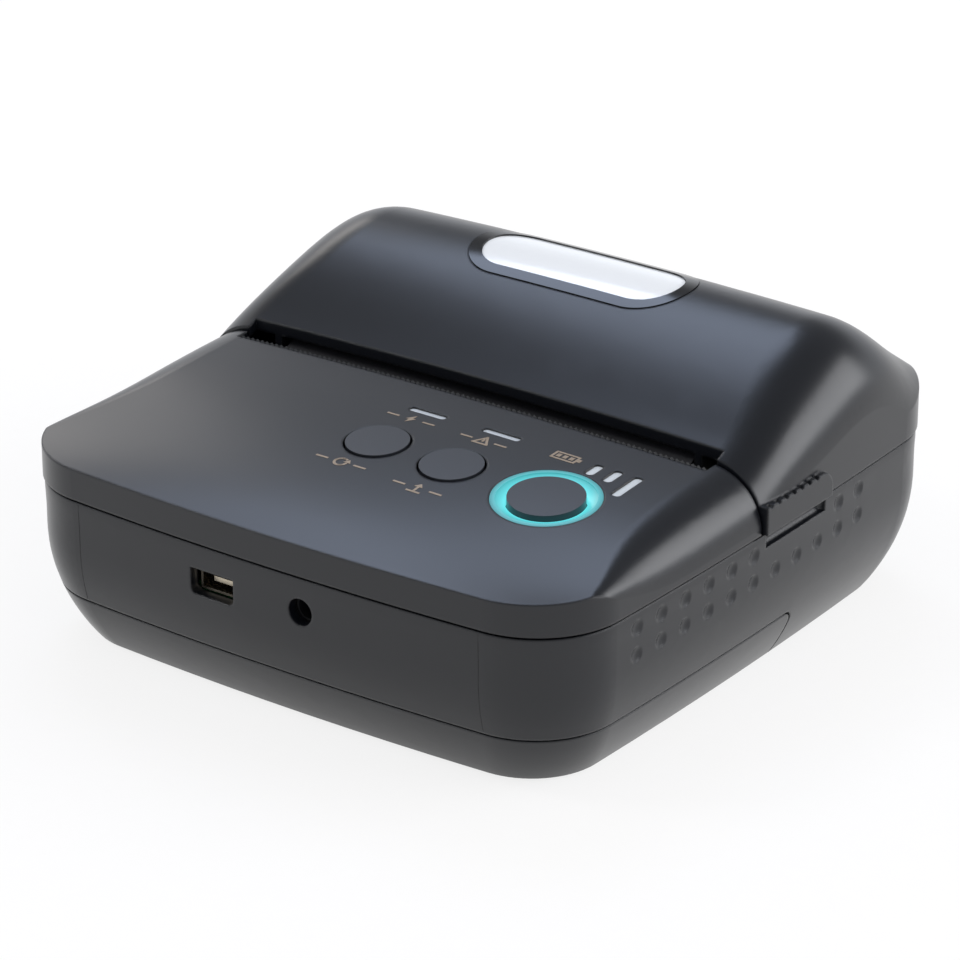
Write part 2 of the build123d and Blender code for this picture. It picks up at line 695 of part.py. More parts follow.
def light_guides(places, grow=0.0):
    """Upright bars that carry light from the key board to the panel."""
    low = KEY_BOARD_TOP_Z + LED_SIZE[2] + FINE_GAP
    bars = Part()
    for x, y, long_x, long_y in places:
        half_x, half_y = long_x / 2 + grow, long_y / 2 + grow
        bar = block(x - half_x, x + half_x, y - half_y, y + half_y, low, FAR)
        bars += fillet(bar.edges().filter_by(Axis.Z), min(half_x, half_y) * GUIDE_ROUNDING)
    return bars


def fitted_guides(places):
    return light_guides(places) & panel_form(GUIDE_RECESS)


def tube_z(x, y, outer, inner):
    return rod_z(x, y, outer, 0, FAR) - rod_z(x, y, inner, 0, FAR)


def ring_funnel():
    """The cone that slopes the ring's top down to the power key, square to the panel."""
    x, y = POWER_KEY
    lean_y = (panel_height(y + RING_OUTER) - panel_height(y - RING_OUTER)) / (2 * RING_OUTER)
    crown = panel_crown(y)
    lean_x = -2 * crown * x / HALF_WIDTH ** 2
    middle = panel_height(y) - crown * (x / HALF_WIDTH) ** 2
    slope = RING_DEPTH / (RING_OUTER - RING_RIM - RING_INNER)
    narrow = RING_INNER - RING_CUT_RISE / slope
    wide = RING_OUTER - RING_RIM + RING_CUT_RISE / slope
    rise = RING_DEPTH + 2 * RING_CUT_RISE
    base = Plane((x, y, middle), z_dir=(-lean_x, -lean_y, 1))
    return base * Location((0, 0, -RING_DEPTH / 2)) * Cone(narrow, wide, rise)


def power_ring():
    """The clear ring round the power key, with a flange behind the panel."""
    flange_inner = RING_INNER + KEY_FLANGE + KEY_CLEARANCE
    flange_low = WALL + FINE_GAP + KEY_FLANGE_THICKNESS
    ring = panel_layer(tube_z(*POWER_KEY, RING_OUTER, RING_INNER), 0, WALL) - ring_funnel()
    skirt = panel_layer(tube_z(*POWER_KEY, RING_OUTER, flange_inner), 0, flange_low)
    wide = tube_z(*POWER_KEY, RING_OUTER + RING_FLANGE, flange_inner)
    return ring + [skirt, panel_layer(wide, WALL + FINE_GAP, flange_low)]


def key(place, radius):
    """A key cap that follows the panel, its retaining flange and the stem over its switch."""
    flange_low = WALL + FINE_GAP + KEY_FLANGE_THICKNESS
    cap = panel_layer(rod_z(*place, radius, 0, FAR), -KEY_STAND, flange_low)
    flange = panel_layer(rod_z(*place, radius + KEY_FLANGE, 0, FAR), WALL + FINE_GAP, flange_low)
    stem = rod_z(*place, KEY_STEM_RADIUS, KEY_BOTTOM_Z, FAR) & panel_form(WALL)
    return cap + [flange, stem]


def tear_bar():
    """The toothed strip behind the panel's back edge."""
    back = SLOT_FRONT_Y - TEAR_BAR_THICKNESS + GUIDE_FIT
    top = panel_height(SLOT_FRONT_Y) + TOOTH_STAND
    half = SLOT_HALF_WIDTH - TEAR_BAR_END_GAP
    teeth = int(2 * half / TOOTH_PITCH)
    start = -teeth * TOOTH_PITCH / 2

    def crest(x):
        return top - PANEL_PROFILE[-1][3] * (x / HALF_WIDTH) ** 2

    edge = [(half, top - TEAR_BAR_DEPTH), (-half, top - TEAR_BAR_DEPTH), (-half, crest(half) - TOOTH_HEIGHT)]
    for tooth in range(teeth):
        x = start + tooth * TOOTH_PITCH
        edge += [(x, crest(x) - TOOTH_HEIGHT), (x + TOOTH_PITCH / 2, crest(x + TOOTH_PITCH / 2))]
    edge += [(start + teeth * TOOTH_PITCH, crest(half) - TOOTH_HEIGHT), (half, crest(half) - TOOTH_HEIGHT)]
    face = Plane((0, back, 0), x_dir=(1, 0, 0), z_dir=(0, -1, 0)) * make_face(Polyline(*edge, close=True))
    return extrude(face, -(TEAR_BAR_THICKNESS - GUIDE_FIT))


def panel_height(y):
    """The front panel's height along its middle, between the profile's stations."""
    for near, far in zip(PANEL_PROFILE, PANEL_PROFILE[1:]):
        if near[0] <= y <= far[0]:
            return near[1] + (far[1] - near[1]) * (y - near[0]) / (far[0] - near[0])
    return PANEL_PROFILE[-1][1]


def panel_crown(y):
    """How far the front panel falls from its middle to its sides, at the station nearest to y."""
    return min(PANEL_PROFILE, key=lambda station: abs(station[0] - y))[3]


def stadium(radius_change, low, high):
    """The window's outline, wider or narrower all round, as an upright block."""
    length = WINDOW_LENGTH + 2 * radius_change
    height = 2 * (WINDOW_RADIUS + radius_change)
    face = Location((0, WINDOW_Y, low)) * SlotOverall(length, height)
    return extrude(face, high - low)


def window_rim():
    """The black frame of the cover window, flanged under the shell."""
    low = WALL + WINDOW_FLANGE_DEPTH
    frame = cover_layer(stadium(-WINDOW_FIT, 0, FAR) - stadium(-WINDOW_RIM, 0, FAR), -FINE_GAP, low)
    flange = stadium(WINDOW_FLANGE, 0, FAR) - stadium(-WINDOW_RIM, 0, FAR)
    return frame + cover_layer(flange, WALL + WINDOW_FIT, low)


def window_lens():
    return cover_layer(stadium(-WINDOW_RIM - WINDOW_FIT, 0, FAR), FINE_GAP, WALL)


def finger_ledges():
    """Ledges on the cover's sides, notched along their upper edge."""
    inner_x = side_x(LEDGE_Y[1]) - WALL / 2
    outer_x = side_x(0) + LEDGE_STAND
    ledge = block(inner_x, outer_x, LEDGE_Y[0], LEDGE_Y[1], TOP_EDGE_Z, LEDGE_TOP_Z)
    corner = ledge.edges().filter_by(Axis.X).group_by(Axis.Y)[-1].sort_by(Axis.Z)[-1]
    ledge = fillet(corner, LEDGE_CORNER)
    ledge = fillet(ledge.faces().sort_by(Axis.X)[-1].edges().group_by(Axis.Z)[-1], LEDGE_EDGE)
    notches = []
    y = LEDGE_Y[0] + LEDGE_NOTCH_PITCH / 2
    while y < LEDGE_Y[1] - LEDGE_CORNER:
        notches.append(rod_x(y, LEDGE_TOP_Z, LEDGE_NOTCH_RADIUS, side_x(y), outer_x + WALL))
        y += LEDGE_NOTCH_PITCH
    return both_sides(ledge - notches)


def platen_arms():
    """Plates that reach down from the cover to the platen's bushings."""
    arm = rod_x(PLATEN_Y, PLATEN_Z, ARM_RADIUS, ARM_INNER_X, ARM_OUTER_X)
    arm += block(ARM_INNER_X, ARM_OUTER_X, SLOT_BACK_Y, PLATEN_Y + ARM_RADIUS, PLATEN_Z, FAR)
    arm &= cover_form(WALL / 2)
    return both_sides(arm - rod_x(PLATEN_Y, PLATEN_Z, BUSH_RADIUS + SEAT_FIT, 0, FAR))


def rear_cover():
    """The hinged paper cover: shell, finger ledges, platen arms and hinge barrels."""
    room = block(-FAR, FAR, SHELL_SEAM_Y + SEAM_GAP / 2, FAR, TOP_EDGE_Z, FAR)
    shell = cover_layer(room, 0, WALL) + [finger_ledges(), platen_arms()]
    shell -= [
        block(-SLOT_HALF_WIDTH, SLOT_HALF_WIDTH, -FAR, SLOT_BACK_Y, -FAR, FAR),
        stadium(0, TOP_EDGE_Z, FAR),
        both_sides(knuckle_relief(HINGE_SPLIT_X + HINGE_GAP / 2, HINGE_X[1])),
    ]
    shell += both_sides(knuckle(HINGE_X[0], HINGE_SPLIT_X - HINGE_GAP / 2, rises=True))
    return shell - both_sides(hinge_bore(HINGE_PIN_RADIUS + RUNNING_FIT))


def hinge_pins():
    """Two pins held in the housing's barrels."""
    length_end = HINGE_X[1] - GUIDE_FIT
    return both_sides(rod_x(HINGE_Y, HINGE_Z, HINGE_PIN_RADIUS, HINGE_X[0] + KNUCKLE_RELIEF * 2, length_end))


def paper_bay():
    """The trough that holds the roll, its side walls and the lip under the platen."""
    x = BAY_INNER_X
    tub = rod_x(ROLL_Y, BAY_Z, BAY_SHELL_RADIUS, -x, x) - rod_x(ROLL_Y, BAY_Z, BAY_RADIUS, -FAR, FAR)
    front_top = trough_back_z()
    tub -= block(-FAR, FAR, -FAR, ROLL_Y, front_top, FAR)
    side = rod_x(ROLL_Y, BAY_Z, BAY_SHELL_RADIUS, BAY_INNER_X, BAY_OUTER_X)
    side -= block(0, FAR, -FAR, PLATEN_Y + ARM_RADIUS + ARM_BAY_GAP, -FAR, FAR)
    body = (tub + both_sides(side)) & below(BAY_TOP_Z)
    trough_inner = PLATEN_RADIUS + TROUGH_GAP
    trough_outer = trough_inner + TROUGH_WALL
    lip = rod_x(PLATEN_Y, PLATEN_Z, trough_outer, -TROUGH_HALF, TROUGH_HALF)
    lip &= block(-FAR, FAR, TROUGH_FRONT_Y, FAR, -FAR, front_top)
    body += lip
    for y in BAY_FEET_Y:
        foot = block(-BAY_FOOT_HALF, BAY_FOOT_HALF, y, y + BAY_FOOT_WIDTH, FLOOR, BAY_Z)
        body += foot - rod_x(ROLL_Y, BAY_Z, BAY_SHELL_RADIUS - BAY_WALL / 2, -FAR, FAR)
    body -= rod_x(PLATEN_Y, PLATEN_Z, trough_inner, -FAR, FAR)
    return body - sensor_space(SENSOR_FIT)


def trough_back_z():
    """Where the lip under the platen meets the trough's front wall."""
    return BAY_Z + FINE_GAP


def sensor_space(grow):
    """The paper sensor's place in the lip under the platen."""
    top = PLATEN_Z - PLATEN_RADIUS - TROUGH_GAP - FINE_GAP
    half_x, half_y = SENSOR_SIZE[0] / 2 + grow, SENSOR_SIZE[1] / 2 + grow
    high = top + (FINE_GAP * 2 if grow else 0)
    return block(-half_x, half_x, PLATEN_Y - half_y, PLATEN_Y + half_y, top - SENSOR_SIZE[2], high)


def paper_sensor():
    return sensor_space(0)


def paper_roll():
    roll = rod_x(ROLL_Y, ROLL_Z, ROLL_RADIUS, -PAPER_HALF, PAPER_HALF)
    return roll - rod_x(ROLL_Y, ROLL_Z, CORE_OUTER + SEAT_FIT, -FAR, FAR)


def roll_core():
    core = rod_x(ROLL_Y, ROLL_Z, CORE_OUTER, -PAPER_HALF, PAPER_HALF)
    return core - rod_x(ROLL_Y, ROLL_Z, CORE_OUTER - CORE_WALL, -FAR, FAR)


def platen_shaft():
    return rod_x(PLATEN_Y, PLATEN_Z, SHAFT_RADIUS, -FRAME_OUTER_X - GEAR_PLANE_GAP, SHAFT_END_X)


def platen_rubber():
    rubber = rod_x(PLATEN_Y, PLATEN_Z, PLATEN_RADIUS, -PLATEN_HALF, PLATEN_HALF)
    return rubber - rod_x(PLATEN_Y, PLATEN_Z, SHAFT_RADIUS + SEAT_FIT, -FAR, FAR)


def platen_bushings():
    bush = rod_x(PLATEN_Y, PLATEN_Z, BUSH_RADIUS, ARM_INNER_X, FRAME_OUTER_X + FINE_GAP)
    return both_sides(bush - rod_x(PLATEN_Y, PLATEN_Z, SHAFT_RADIUS + RUNNING_FIT, 0, FAR))


def bushing_notch():
    """The open notch in a frame plate that a bushing drops into."""
    reach = BUSH_RADIUS + NOTCH_CLEARANCE
    high = FRAME_TOP_Z + FRAME_PLATE
    walls = [
        (PLATEN_Y - reach, PLATEN_Z),
        (PLATEN_Y + reach, PLATEN_Z),
        (PLATEN_Y + reach + NOTCH_FLARE, high),
        (PLATEN_Y - reach, high),
    ]
    return rod_x(PLATEN_Y, PLATEN_Z, reach, 0, FAR) + side_profile(walls, 0, FAR)


def frame_plate():
    """One side plate of the printing mechanism."""
    outline = [
        (FRAME_FRONT_Y, FRAME_BASE_Z),
        (FRAME_BACK_Y, FRAME_BASE_Z),
        (FRAME_BACK_Y, FRAME_TOP_Z),
        (FRAME_STEP_Y, FRAME_TOP_Z),
        (FRAME_STEP_Y, FRAME_STEP_Z),
        (FRAME_FRONT_Y, FRAME_STEP_Z),
    ]
    plate = side_profile(outline, FRAME_INNER_X, FRAME_OUTER_X) - bushing_notch()
    return plate - rod_x(HEAD_PIVOT_Y, HEAD_PIVOT_Z, HEAD_SHAFT_RADIUS + SEAT_FIT, 0, FAR)


def mech_frame():
    """The mechanism's frame: base, two side plates and the wall behind the head springs."""
    frame = both_sides(frame_plate())
    frame += block(-FRAME_OUTER_X, FRAME_OUTER_X, FRAME_FRONT_Y, FRAME_BACK_Y, FRAME_BASE_Z, FRAME_FLOOR_Z)
    wall_end = FRAME_INNER_X - MOTOR_LENGTH - MOTOR_SIDE_GAP
    wall_y = FRAME_WALL_Y - FRAME_PLATE
    frame += block(-FRAME_OUTER_X, wall_end, wall_y, FRAME_WALL_Y, FRAME_BASE_Z, FRAME_WALL_TOP_Z)
    frame -= rod_x(REDUCTION_Y, REDUCTION_Z, GEAR_PIN_RADIUS + SEAT_FIT, 0, FAR)
    frame -= rod_x(PINION_Y, PINION_Z, MOTOR_BOSS_RADIUS + MOTOR_BOSS_CLEARANCE, FRAME_INNER_X, FAR)
    for x, y in FRAME_SCREWS:
        frame -= rod_z(x, y, SMALL_SCREW_RADIUS + FINE_GAP, 0, FRAME_FLOOR_Z)
    return frame


def thermal_head():
    """The ceramic strip that the platen presses the paper against."""
    return block(-PLATEN_HALF, PLATEN_HALF, HEAD_BACK_Y, HEAD_FRONT_Y, HEAD_BOTTOM_Z, HEAD_TOP_Z)


def heat_sink():
    """The metal plate behind the head, with its pivot hubs."""
    x = PLATEN_HALF
    plate = block(-x, x, SINK_BACK_Y, HEAD_BACK_Y, SINK_BOTTOM_Z, HEAD_TOP_Z)
    hub = rod_x(HEAD_PIVOT_Y, HEAD_PIVOT_Z, HEAD_HUB_RADIUS, x - HEAD_HUB_LENGTH, x)
    middle = x - HEAD_HUB_LENGTH
    plate -= block(-middle, middle, -FAR, FAR, 0, SINK_CUT_Z)
    bore = rod_x(HEAD_PIVOT_Y, HEAD_PIVOT_Z, HEAD_SHAFT_RADIUS + RUNNING_FIT, -FAR, FAR)
    return plate + both_sides(hub) - bore


def head_shaft():
    return rod_x(HEAD_PIVOT_Y, HEAD_PIVOT_Z, HEAD_SHAFT_RADIUS, -FRAME_OUTER_X, FRAME_OUTER_X)


def head_springs():
    """Coil springs that stand on the frame's wall and press the head to the platen."""
    length = SINK_BACK_Y - FRAME_WALL_Y - SPRING_END_GAP
    coil_radius = SPRING_RADIUS - SPRING_WIRE / 2
    pitch = (length - SPRING_WIRE) / SPRING_TURNS
    start = FRAME_WALL_Y + SPRING_WIRE / 2
    path = Helix(pitch, pitch * SPRING_TURNS, coil_radius)
    ring = Plane(origin=path @ 0, z_dir=path % 0) * Circle(SPRING_WIRE / 2)
    coil = sweep(ring, path=path)
    springs = [Location((x, start, SPRING_Z), (-90, 0, 0)) * coil for x in SPRING_X]
    return Part() + springs


def involute(pressure):
    return tan(pressure) - pressure


def gear(teeth, x0, x1, y, z, first_tooth, bore):
    """An involute spur gear turning about X, with one tooth centred on the given direction."""
    pitch_radius = GEAR_MODULE * teeth / 2
    base_radius = pitch_radius * cos(PRESSURE_ANGLE)
    tip_radius = pitch_radius + GEAR_ADDENDUM * GEAR_MODULE
    root_radius = pitch_radius - GEAR_DEDENDUM * GEAR_MODULE
    pitch_half = pi / (2 * teeth) - GEAR_BACKLASH / (4 * pitch_radius)

    def flank(radius, turn, side):
        pressure = acos(min(1.0, base_radius / radius))
        angle = turn + side * (pitch_half + involute(PRESSURE_ANGLE) - involute(pressure))
        return (radius * cos(angle), radius * sin(angle))

    edges = []
    for tooth in range(teeth):
        turn = first_tooth + 2 * pi * tooth / teeth
        after = first_tooth + 2 * pi * (tooth + 1) / teeth
        edges += [
            ThreePointArc(*(flank(r, turn, -1) for r in (root_radius, pitch_radius, tip_radius))),
            Line(flank(tip_radius, turn, -1), flank(tip_radius, turn, 1)),
            ThreePointArc(*(flank(r, turn, 1) for r in (tip_radius, pitch_radius, root_radius))),
            Line(flank(root_radius, turn, 1), flank(root_radius, after, -1)),
        ]
    face = Plane((x0, y, z), x_dir=(0, 1, 0), z_dir=(1, 0, 0)) * make_face(edges)
    return extrude(face, x1 - x0) - rod_x(y, z, bore, x0 - 1, x1 + 1)


def gap_toward(angle, teeth):
    """The direction of a tooth when a gap points back along an angle."""
    return angle + pi + pi / teeth


def platen_gear():
    bore = SHAFT_RADIUS + SEAT_FIT
    return gear(PLATEN_TEETH, GEAR_X, GEAR_END_X, PLATEN_Y, PLATEN_Z, REDUCTION_ANGLE, bore)


def reduction_gear():
    """The double gear between the motor pinion and the platen gear."""
    bore = GEAR_PIN_RADIUS + RUNNING_FIT
    place = (REDUCTION_Y, REDUCTION_Z)
    small_tooth = gap_toward(REDUCTION_ANGLE, SMALL_TEETH)
    small = gear(SMALL_TEETH, GEAR_X, GEAR_END_X, *place, small_tooth, bore)
    hub = rod_x(*place, GEAR_PIN_RADIUS * 2, GEAR_END_X, BIG_GEAR_X) - rod_x(*place, bore, 0, FAR)
    big = gear(BIG_TEETH, BIG_GEAR_X, BIG_GEAR_END_X, *place, PINION_ANGLE, bore)
    return small + hub + big


def gear_pin():
    """The fixed pin that the double gear turns on, with its end plate and shoulder."""
    place = (REDUCTION_Y, REDUCTION_Z)
    end = BIG_GEAR_END_X + FINE_GAP * 2
    pin = rod_x(*place, GEAR_PIN_RADIUS, FRAME_INNER_X, end)
    shoulder = rod_x(*place, GEAR_PIN_HEAD_RADIUS, FRAME_OUTER_X, GEAR_X - FINE_GAP)
    return pin + shoulder + rod_x(*place, GEAR_PIN_HEAD_RADIUS, end, end + FRAME_PLATE / 2)


def motor():
    """The stepper motor, with the boss that centres it in the frame."""
    body = rod_x(PINION_Y, PINION_Z, MOTOR_RADIUS, FRAME_INNER_X - MOTOR_LENGTH, FRAME_INNER_X)
    body += rod_x(PINION_Y, PINION_Z, MOTOR_BOSS_RADIUS, FRAME_INNER_X, FRAME_OUTER_X)
    start = MOTOR_SHAFT_START_X - FINE_GAP
    return body - rod_x(PINION_Y, PINION_Z, MOTOR_SHAFT_RADIUS + RUNNING_FIT, start, FAR)


def motor_shaft():
    return rod_x(PINION_Y, PINION_Z, MOTOR_SHAFT_RADIUS, MOTOR_SHAFT_START_X, BIG_GEAR_END_X + FINE_GAP)


def motor_pinion():
    tooth = gap_toward(PINION_ANGLE, PINION_TEETH)
    bore = MOTOR_SHAFT_RADIUS + SEAT_FIT
    return gear(PINION_TEETH, BIG_GEAR_X, BIG_GEAR_END_X, PINION_Y, PINION_Z, tooth, bore)


def key_board():
    board = block(*KEY_BOARD_X, *KEY_BOARD_Y, KEY_BOARD_BOTTOM_Z, KEY_BOARD_TOP_Z)
    for x, y in KEY_BOARD_SCREWS:
        board -= rod_z(x, y, SMALL_SCREW_RADIUS + FINE_GAP, 0, FAR)
    return board


def key_switches():
    """A low push switch under each key."""
    switches = Part()
    half = SWITCH_SIZE / 2
    high = KEY_BOARD_TOP_Z + SWITCH_HEIGHT
    for x, y in (MODE_KEY, FEED_KEY, POWER_KEY):
        switches += block(x - half, x + half, y - half, y + half, KEY_BOARD_TOP_Z, high)
        switches += rod_z(x, y, PLUNGER_RADIUS, high, high + PLUNGER_HEIGHT)
    return switches


def indicator_leds():
    """One lamp under each light guide and four under the lit ring."""
    ring_radius = (RING_OUTER + RING_INNER) / 2
    places = [(x, y) for x, y, _, _ in (CHARGE_SLIT, ERROR_SLIT, *LEVEL_BARS)]
    for quarter in range(4):
        turn = pi / 4 + quarter * pi / 2
        places.append((POWER_KEY[0] + ring_radius * cos(turn), POWER_KEY[1] + ring_radius * sin(turn)))
    top = KEY_BOARD_TOP_Z + LED_SIZE[2]
    lamps = Part()
    for x, y in places:
        half_x, half_y = LED_SIZE[0] / 2, LED_SIZE[1] / 2
        lamps += block(x - half_x, x + half_x, y - half_y, y + half_y, KEY_BOARD_TOP_Z, top)
    return lamps


def main_board():
    x = MAIN_BOARD_X
    board = block(-x, x, *MAIN_BOARD_Y, MAIN_BOARD_Z, MAIN_BOARD_TOP_Z)
    board &= plan_prism(WALL * 2, MAIN_BOARD_Z, MAIN_BOARD_TOP_Z)
    for px, py in case_screw_places():
        board -= rod_z(px, py, POST_RADIUS + RAIL_GAP, 0, FAR)
    for px, py in MAIN_BOARD_SCREWS:
        board -= rod_z(px, py, SMALL_SCREW_RADIUS + FINE_GAP, 0, FAR)
    return board


def main_chips():
    """The processor, the driver and the radio module on the main board."""
    chips = Part()
    for x, y, long_x, long_y, high in CHIPS:
        chips += block(x - long_x / 2, x + long_x / 2, y - long_y / 2, y + long_y / 2,
                       MAIN_BOARD_TOP_Z, MAIN_BOARD_TOP_Z + high)
    return chips


def inlet_front(x):
    """Where an inlet's face stands, just behind the front wall."""
    return -end_y(x, BODY_STEP + WALL) + INLET_GAP


def usb_socket():
    """The sheet metal shell of the small data inlet with its tongue."""
    wide, high, deep = USB_SHELL
    front = inlet_front(USB_X)
    low = MAIN_BOARD_TOP_Z
    shell = block(USB_X - wide / 2, USB_X + wide / 2, front, front + deep, low, low + high)
    room = block(USB_X - wide / 2 + USB_SHEET, USB_X + wide / 2 - USB_SHEET, front - USB_SHEET,
                 front + deep - USB_SHEET, low + USB_SHEET, low + high - USB_SHEET)
    tongue_z = low + high / 2
    tongue = block(USB_X - wide / 4, USB_X + wide / 4, front + USB_SHEET * 2, front + deep - USB_SHEET,
                   tongue_z - USB_SHEET, tongue_z + USB_SHEET)
    return shell - room + tongue


def dc_socket():
    """The round power inlet with its centre pin."""
    wide, high, deep = DC_BODY
    front = inlet_front(DC_X)
    body = block(DC_X - wide / 2, DC_X + wide / 2, front, front + deep, MAIN_BOARD_TOP_Z, DC_Z + high / 2)
    body -= rod_y(DC_X, DC_Z, DC_BORE, front - 1, front + deep - WALL)
    return body + rod_y(DC_X, DC_Z, DC_PIN_RADIUS, front + WALL / 2, front + deep)


def battery_pack():
    x = COMPARTMENT_X - PACK_GAP
    front = COMPARTMENT_Y[0] + PACK_GAP
    pack = block(-x, x, front, PACK_BACK_Y, FLOOR + PACK_GAP, CEILING_Z - PACK_GAP)
    return fillet(pack.edges().filter_by(Axis.X), PACK_RADIUS)


def battery_contacts():
    """The terminal block at the back of the compartment, with its spring blades."""
    wide, deep, high = CONTACT_BLOCK
    back = COMPARTMENT_Y[1]
    terminals = block(-wide / 2, wide / 2, back - deep, back, CONTACT_Z, CONTACT_Z + high)
    first = -CONTACT_PITCH * (CONTACT_COUNT - 1) / 2
    for blade in range(CONTACT_COUNT):
        x = first + blade * CONTACT_PITCH
        terminals += block(x - USB_SHEET, x + USB_SHEET, back - deep - PACK_GAP / 2, back - deep,
                           CONTACT_Z + FLOOR, CONTACT_Z + high - FLOOR)
    return terminals


def cover_switch():
    """The switch that senses the closed cover, with its plunger under a platen arm."""
    wide, deep, high = COVER_SWITCH_SIZE
    y = COVER_SWITCH_Y
    outer = -FRAME_INNER_X + FINE_GAP
    body = block(outer, outer + wide, y - deep / 2, y + deep / 2, FRAME_FLOOR_Z, FRAME_FLOOR_Z + high)
    plunger_x = -(ARM_INNER_X + ARM_OUTER_X) / 2
    plunger_top = PLATEN_Z - ARM_RADIUS - FINE_GAP * 2
    return body + rod_z(plunger_x, PLATEN_Y, GEAR_PIN_RADIUS / 2, FRAME_FLOOR_Z + high, plunger_top)


def screw(x, y, seat_z, length, radius, head_radius, head, upward):
    """A pan head screw whose head lies on its seat, pointing up or down."""
    way = 1 if upward else -1
    shank = rod_z(x, y, radius, *sorted((seat_z, seat_z + way * length)))
    cap = rod_z(x, y, head_radius, *sorted((seat_z, seat_z - way * head)))
    outer = cap.faces().sort_by(Axis.Z)[0 if upward else -1]
    cap = fillet(outer.edges(), head * SCREW_HEAD_ROUNDING)
    recess_z = seat_z - way * head
    recess = rod_z(x, y, radius * SCREW_RECESS_WIDTH, *sorted((recess_z, recess_z + way * head / 2)))
    return shank + cap - recess


def case_screws():
    """Screws that hold the front cover down, driven from below."""
    screws = [screw(x, y, POST_SEAT_Z, CASE_SCREW_LENGTH, SCREW_RADIUS, SCREW_HEAD_RADIUS, SCREW_HEAD, True)
              for x, y in case_screw_places()]
    return Part() + screws


def small_screws(places, seat_z, upward):
    screws = [screw(x, y, seat_z, SMALL_SCREW_LENGTH, SMALL_SCREW_RADIUS, SMALL_SCREW_HEAD_RADIUS,
                    SMALL_SCREW_HEAD, upward) for x, y in places]
    return Part() + screws


NODES = {
    "base_housing": base_housing,
    "front_cover": front_cover,
    "rear_cover": rear_cover,
    "battery_door": battery_door,
    "feet_front": lambda: foot_pair(FRONT_FEET),
    "feet_rear": lambda: foot_pair(REAR_FEET),
    "window_rim": window_rim,
    "window_lens": window_lens,
    "mode_key": lambda: key(MODE_KEY, KEY_RADIUS),
    "feed_key": lambda: key(FEED_KEY, KEY_RADIUS),
    "power_key": lambda: key(POWER_KEY, POWER_KEY_RADIUS),
    "power_ring": power_ring,
    "indicator_windows": lambda: fitted_guides([CHARGE_SLIT, ERROR_SLIT]),
    "level_windows": lambda: fitted_guides(LEVEL_BARS),
    "tear_bar": tear_bar,
    "hinge_pins": hinge_pins,
    "paper_bay": paper_bay,
    "paper_roll": paper_roll,
    "roll_core": roll_core,
    "paper_sensor": paper_sensor,
    "platen_shaft": platen_shaft,
    "platen_rubber": platen_rubber,
    "platen_gear": platen_gear,
    "platen_bushings": platen_bushings,
    "mech_frame": mech_frame,
    "thermal_head": thermal_head,
    "heat_sink": heat_sink,
    "head_shaft": head_shaft,
    "head_springs": head_springs,
    "motor": motor,
    "motor_shaft": motor_shaft,
    "motor_pinion": motor_pinion,
    "reduction_gear": reduction_gear,
    "gear_pin": gear_pin,
    "cover_switch": cover_switch,
    "key_board": key_board,
    "key_switches": key_switches,
    "indicator_leds": indicator_leds,
    "main_board": main_board,
    "main_chips": main_chips,
    "usb_socket": usb_socket,
    "dc_socket": dc_socket,
    "battery_pack": battery_pack,
    "battery_contacts": battery_contacts,
    "case_screws": case_screws,
    "frame_screws": lambda: small_screws(FRAME_SCREWS, FRAME_FLOOR_Z, upward=False),
    "main_board_screws": lambda: small_screws(MAIN_BOARD_SCREWS, MAIN_BOARD_TOP_Z, upward=False),
    "key_board_screws": lambda: small_screws(KEY_BOARD_SCREWS, KEY_BOARD_BOTTOM_Z, upward=True),
}


def export_all():
    """Write each piece, standing on its feet with the origin under the middle of the whole printer."""
    os.makedirs("parts", exist_ok=True)
    stand = Location((0, -BARREL_OVERHANG / 2, FOOT_STAND))
    for name, make in NODES.items():
        export_step(stand * make(), os.path.join("parts", name + ".step"))


export_all()
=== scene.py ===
from math import cos, pi, radians, sin

import bmesh
import bpy
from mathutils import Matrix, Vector


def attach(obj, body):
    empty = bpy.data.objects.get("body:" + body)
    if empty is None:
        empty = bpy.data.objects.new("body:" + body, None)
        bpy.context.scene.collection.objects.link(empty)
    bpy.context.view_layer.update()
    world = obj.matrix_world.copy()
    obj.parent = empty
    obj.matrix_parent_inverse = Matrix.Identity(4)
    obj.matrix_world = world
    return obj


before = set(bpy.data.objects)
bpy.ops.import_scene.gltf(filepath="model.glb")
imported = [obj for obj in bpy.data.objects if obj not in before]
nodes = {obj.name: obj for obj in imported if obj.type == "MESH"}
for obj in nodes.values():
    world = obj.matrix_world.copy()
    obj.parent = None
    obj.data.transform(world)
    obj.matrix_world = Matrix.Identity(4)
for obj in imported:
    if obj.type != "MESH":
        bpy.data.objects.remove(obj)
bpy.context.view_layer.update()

# Casing: the lower housing, the front cover screwed to it, the paper cover on its hinge and the
# sliding battery door. Thin shells of black ABS, moulded in lightly textured steel tools.
# The satin skin gives soft, wide reflections, and the rounded edges catch a thin line of light.
MM = 0.001
CASING = ("base_housing", "front_cover", "rear_cover", "battery_door")
CASING_COLOUR = "#101217"
ABS_IOR = 1.5
SKIN_GRAIN_MM = 0.35
SKIN_DEPTH_MM = 0.0012
FLOW_MM = 45.0
EDGE_MM = 0.6
EDGE_SAMPLES = 4


def shade(code):
    """A screen colour written in hex, as linear light."""
    parts = [int(code[i:i + 2], 16) / 255 for i in (1, 3, 5)]
    return [c / 12.92 if c <= 0.04045 else ((c + 0.055) / 1.055) ** 2.4 for c in parts] + [1.0]


def add(tree, kind, values=None, links=None, **settings):
    """Adds a shader node with its settings, its input values and the sockets that feed it."""
    node = tree.nodes.new(kind)
    for name, value in settings.items():
        setattr(node, name, value)
    for name, value in (values or {}).items():
        node.inputs[name].default_value = value
    for name, socket in (links or {}).items():
        tree.links.new(socket, node.inputs[name])
    return node


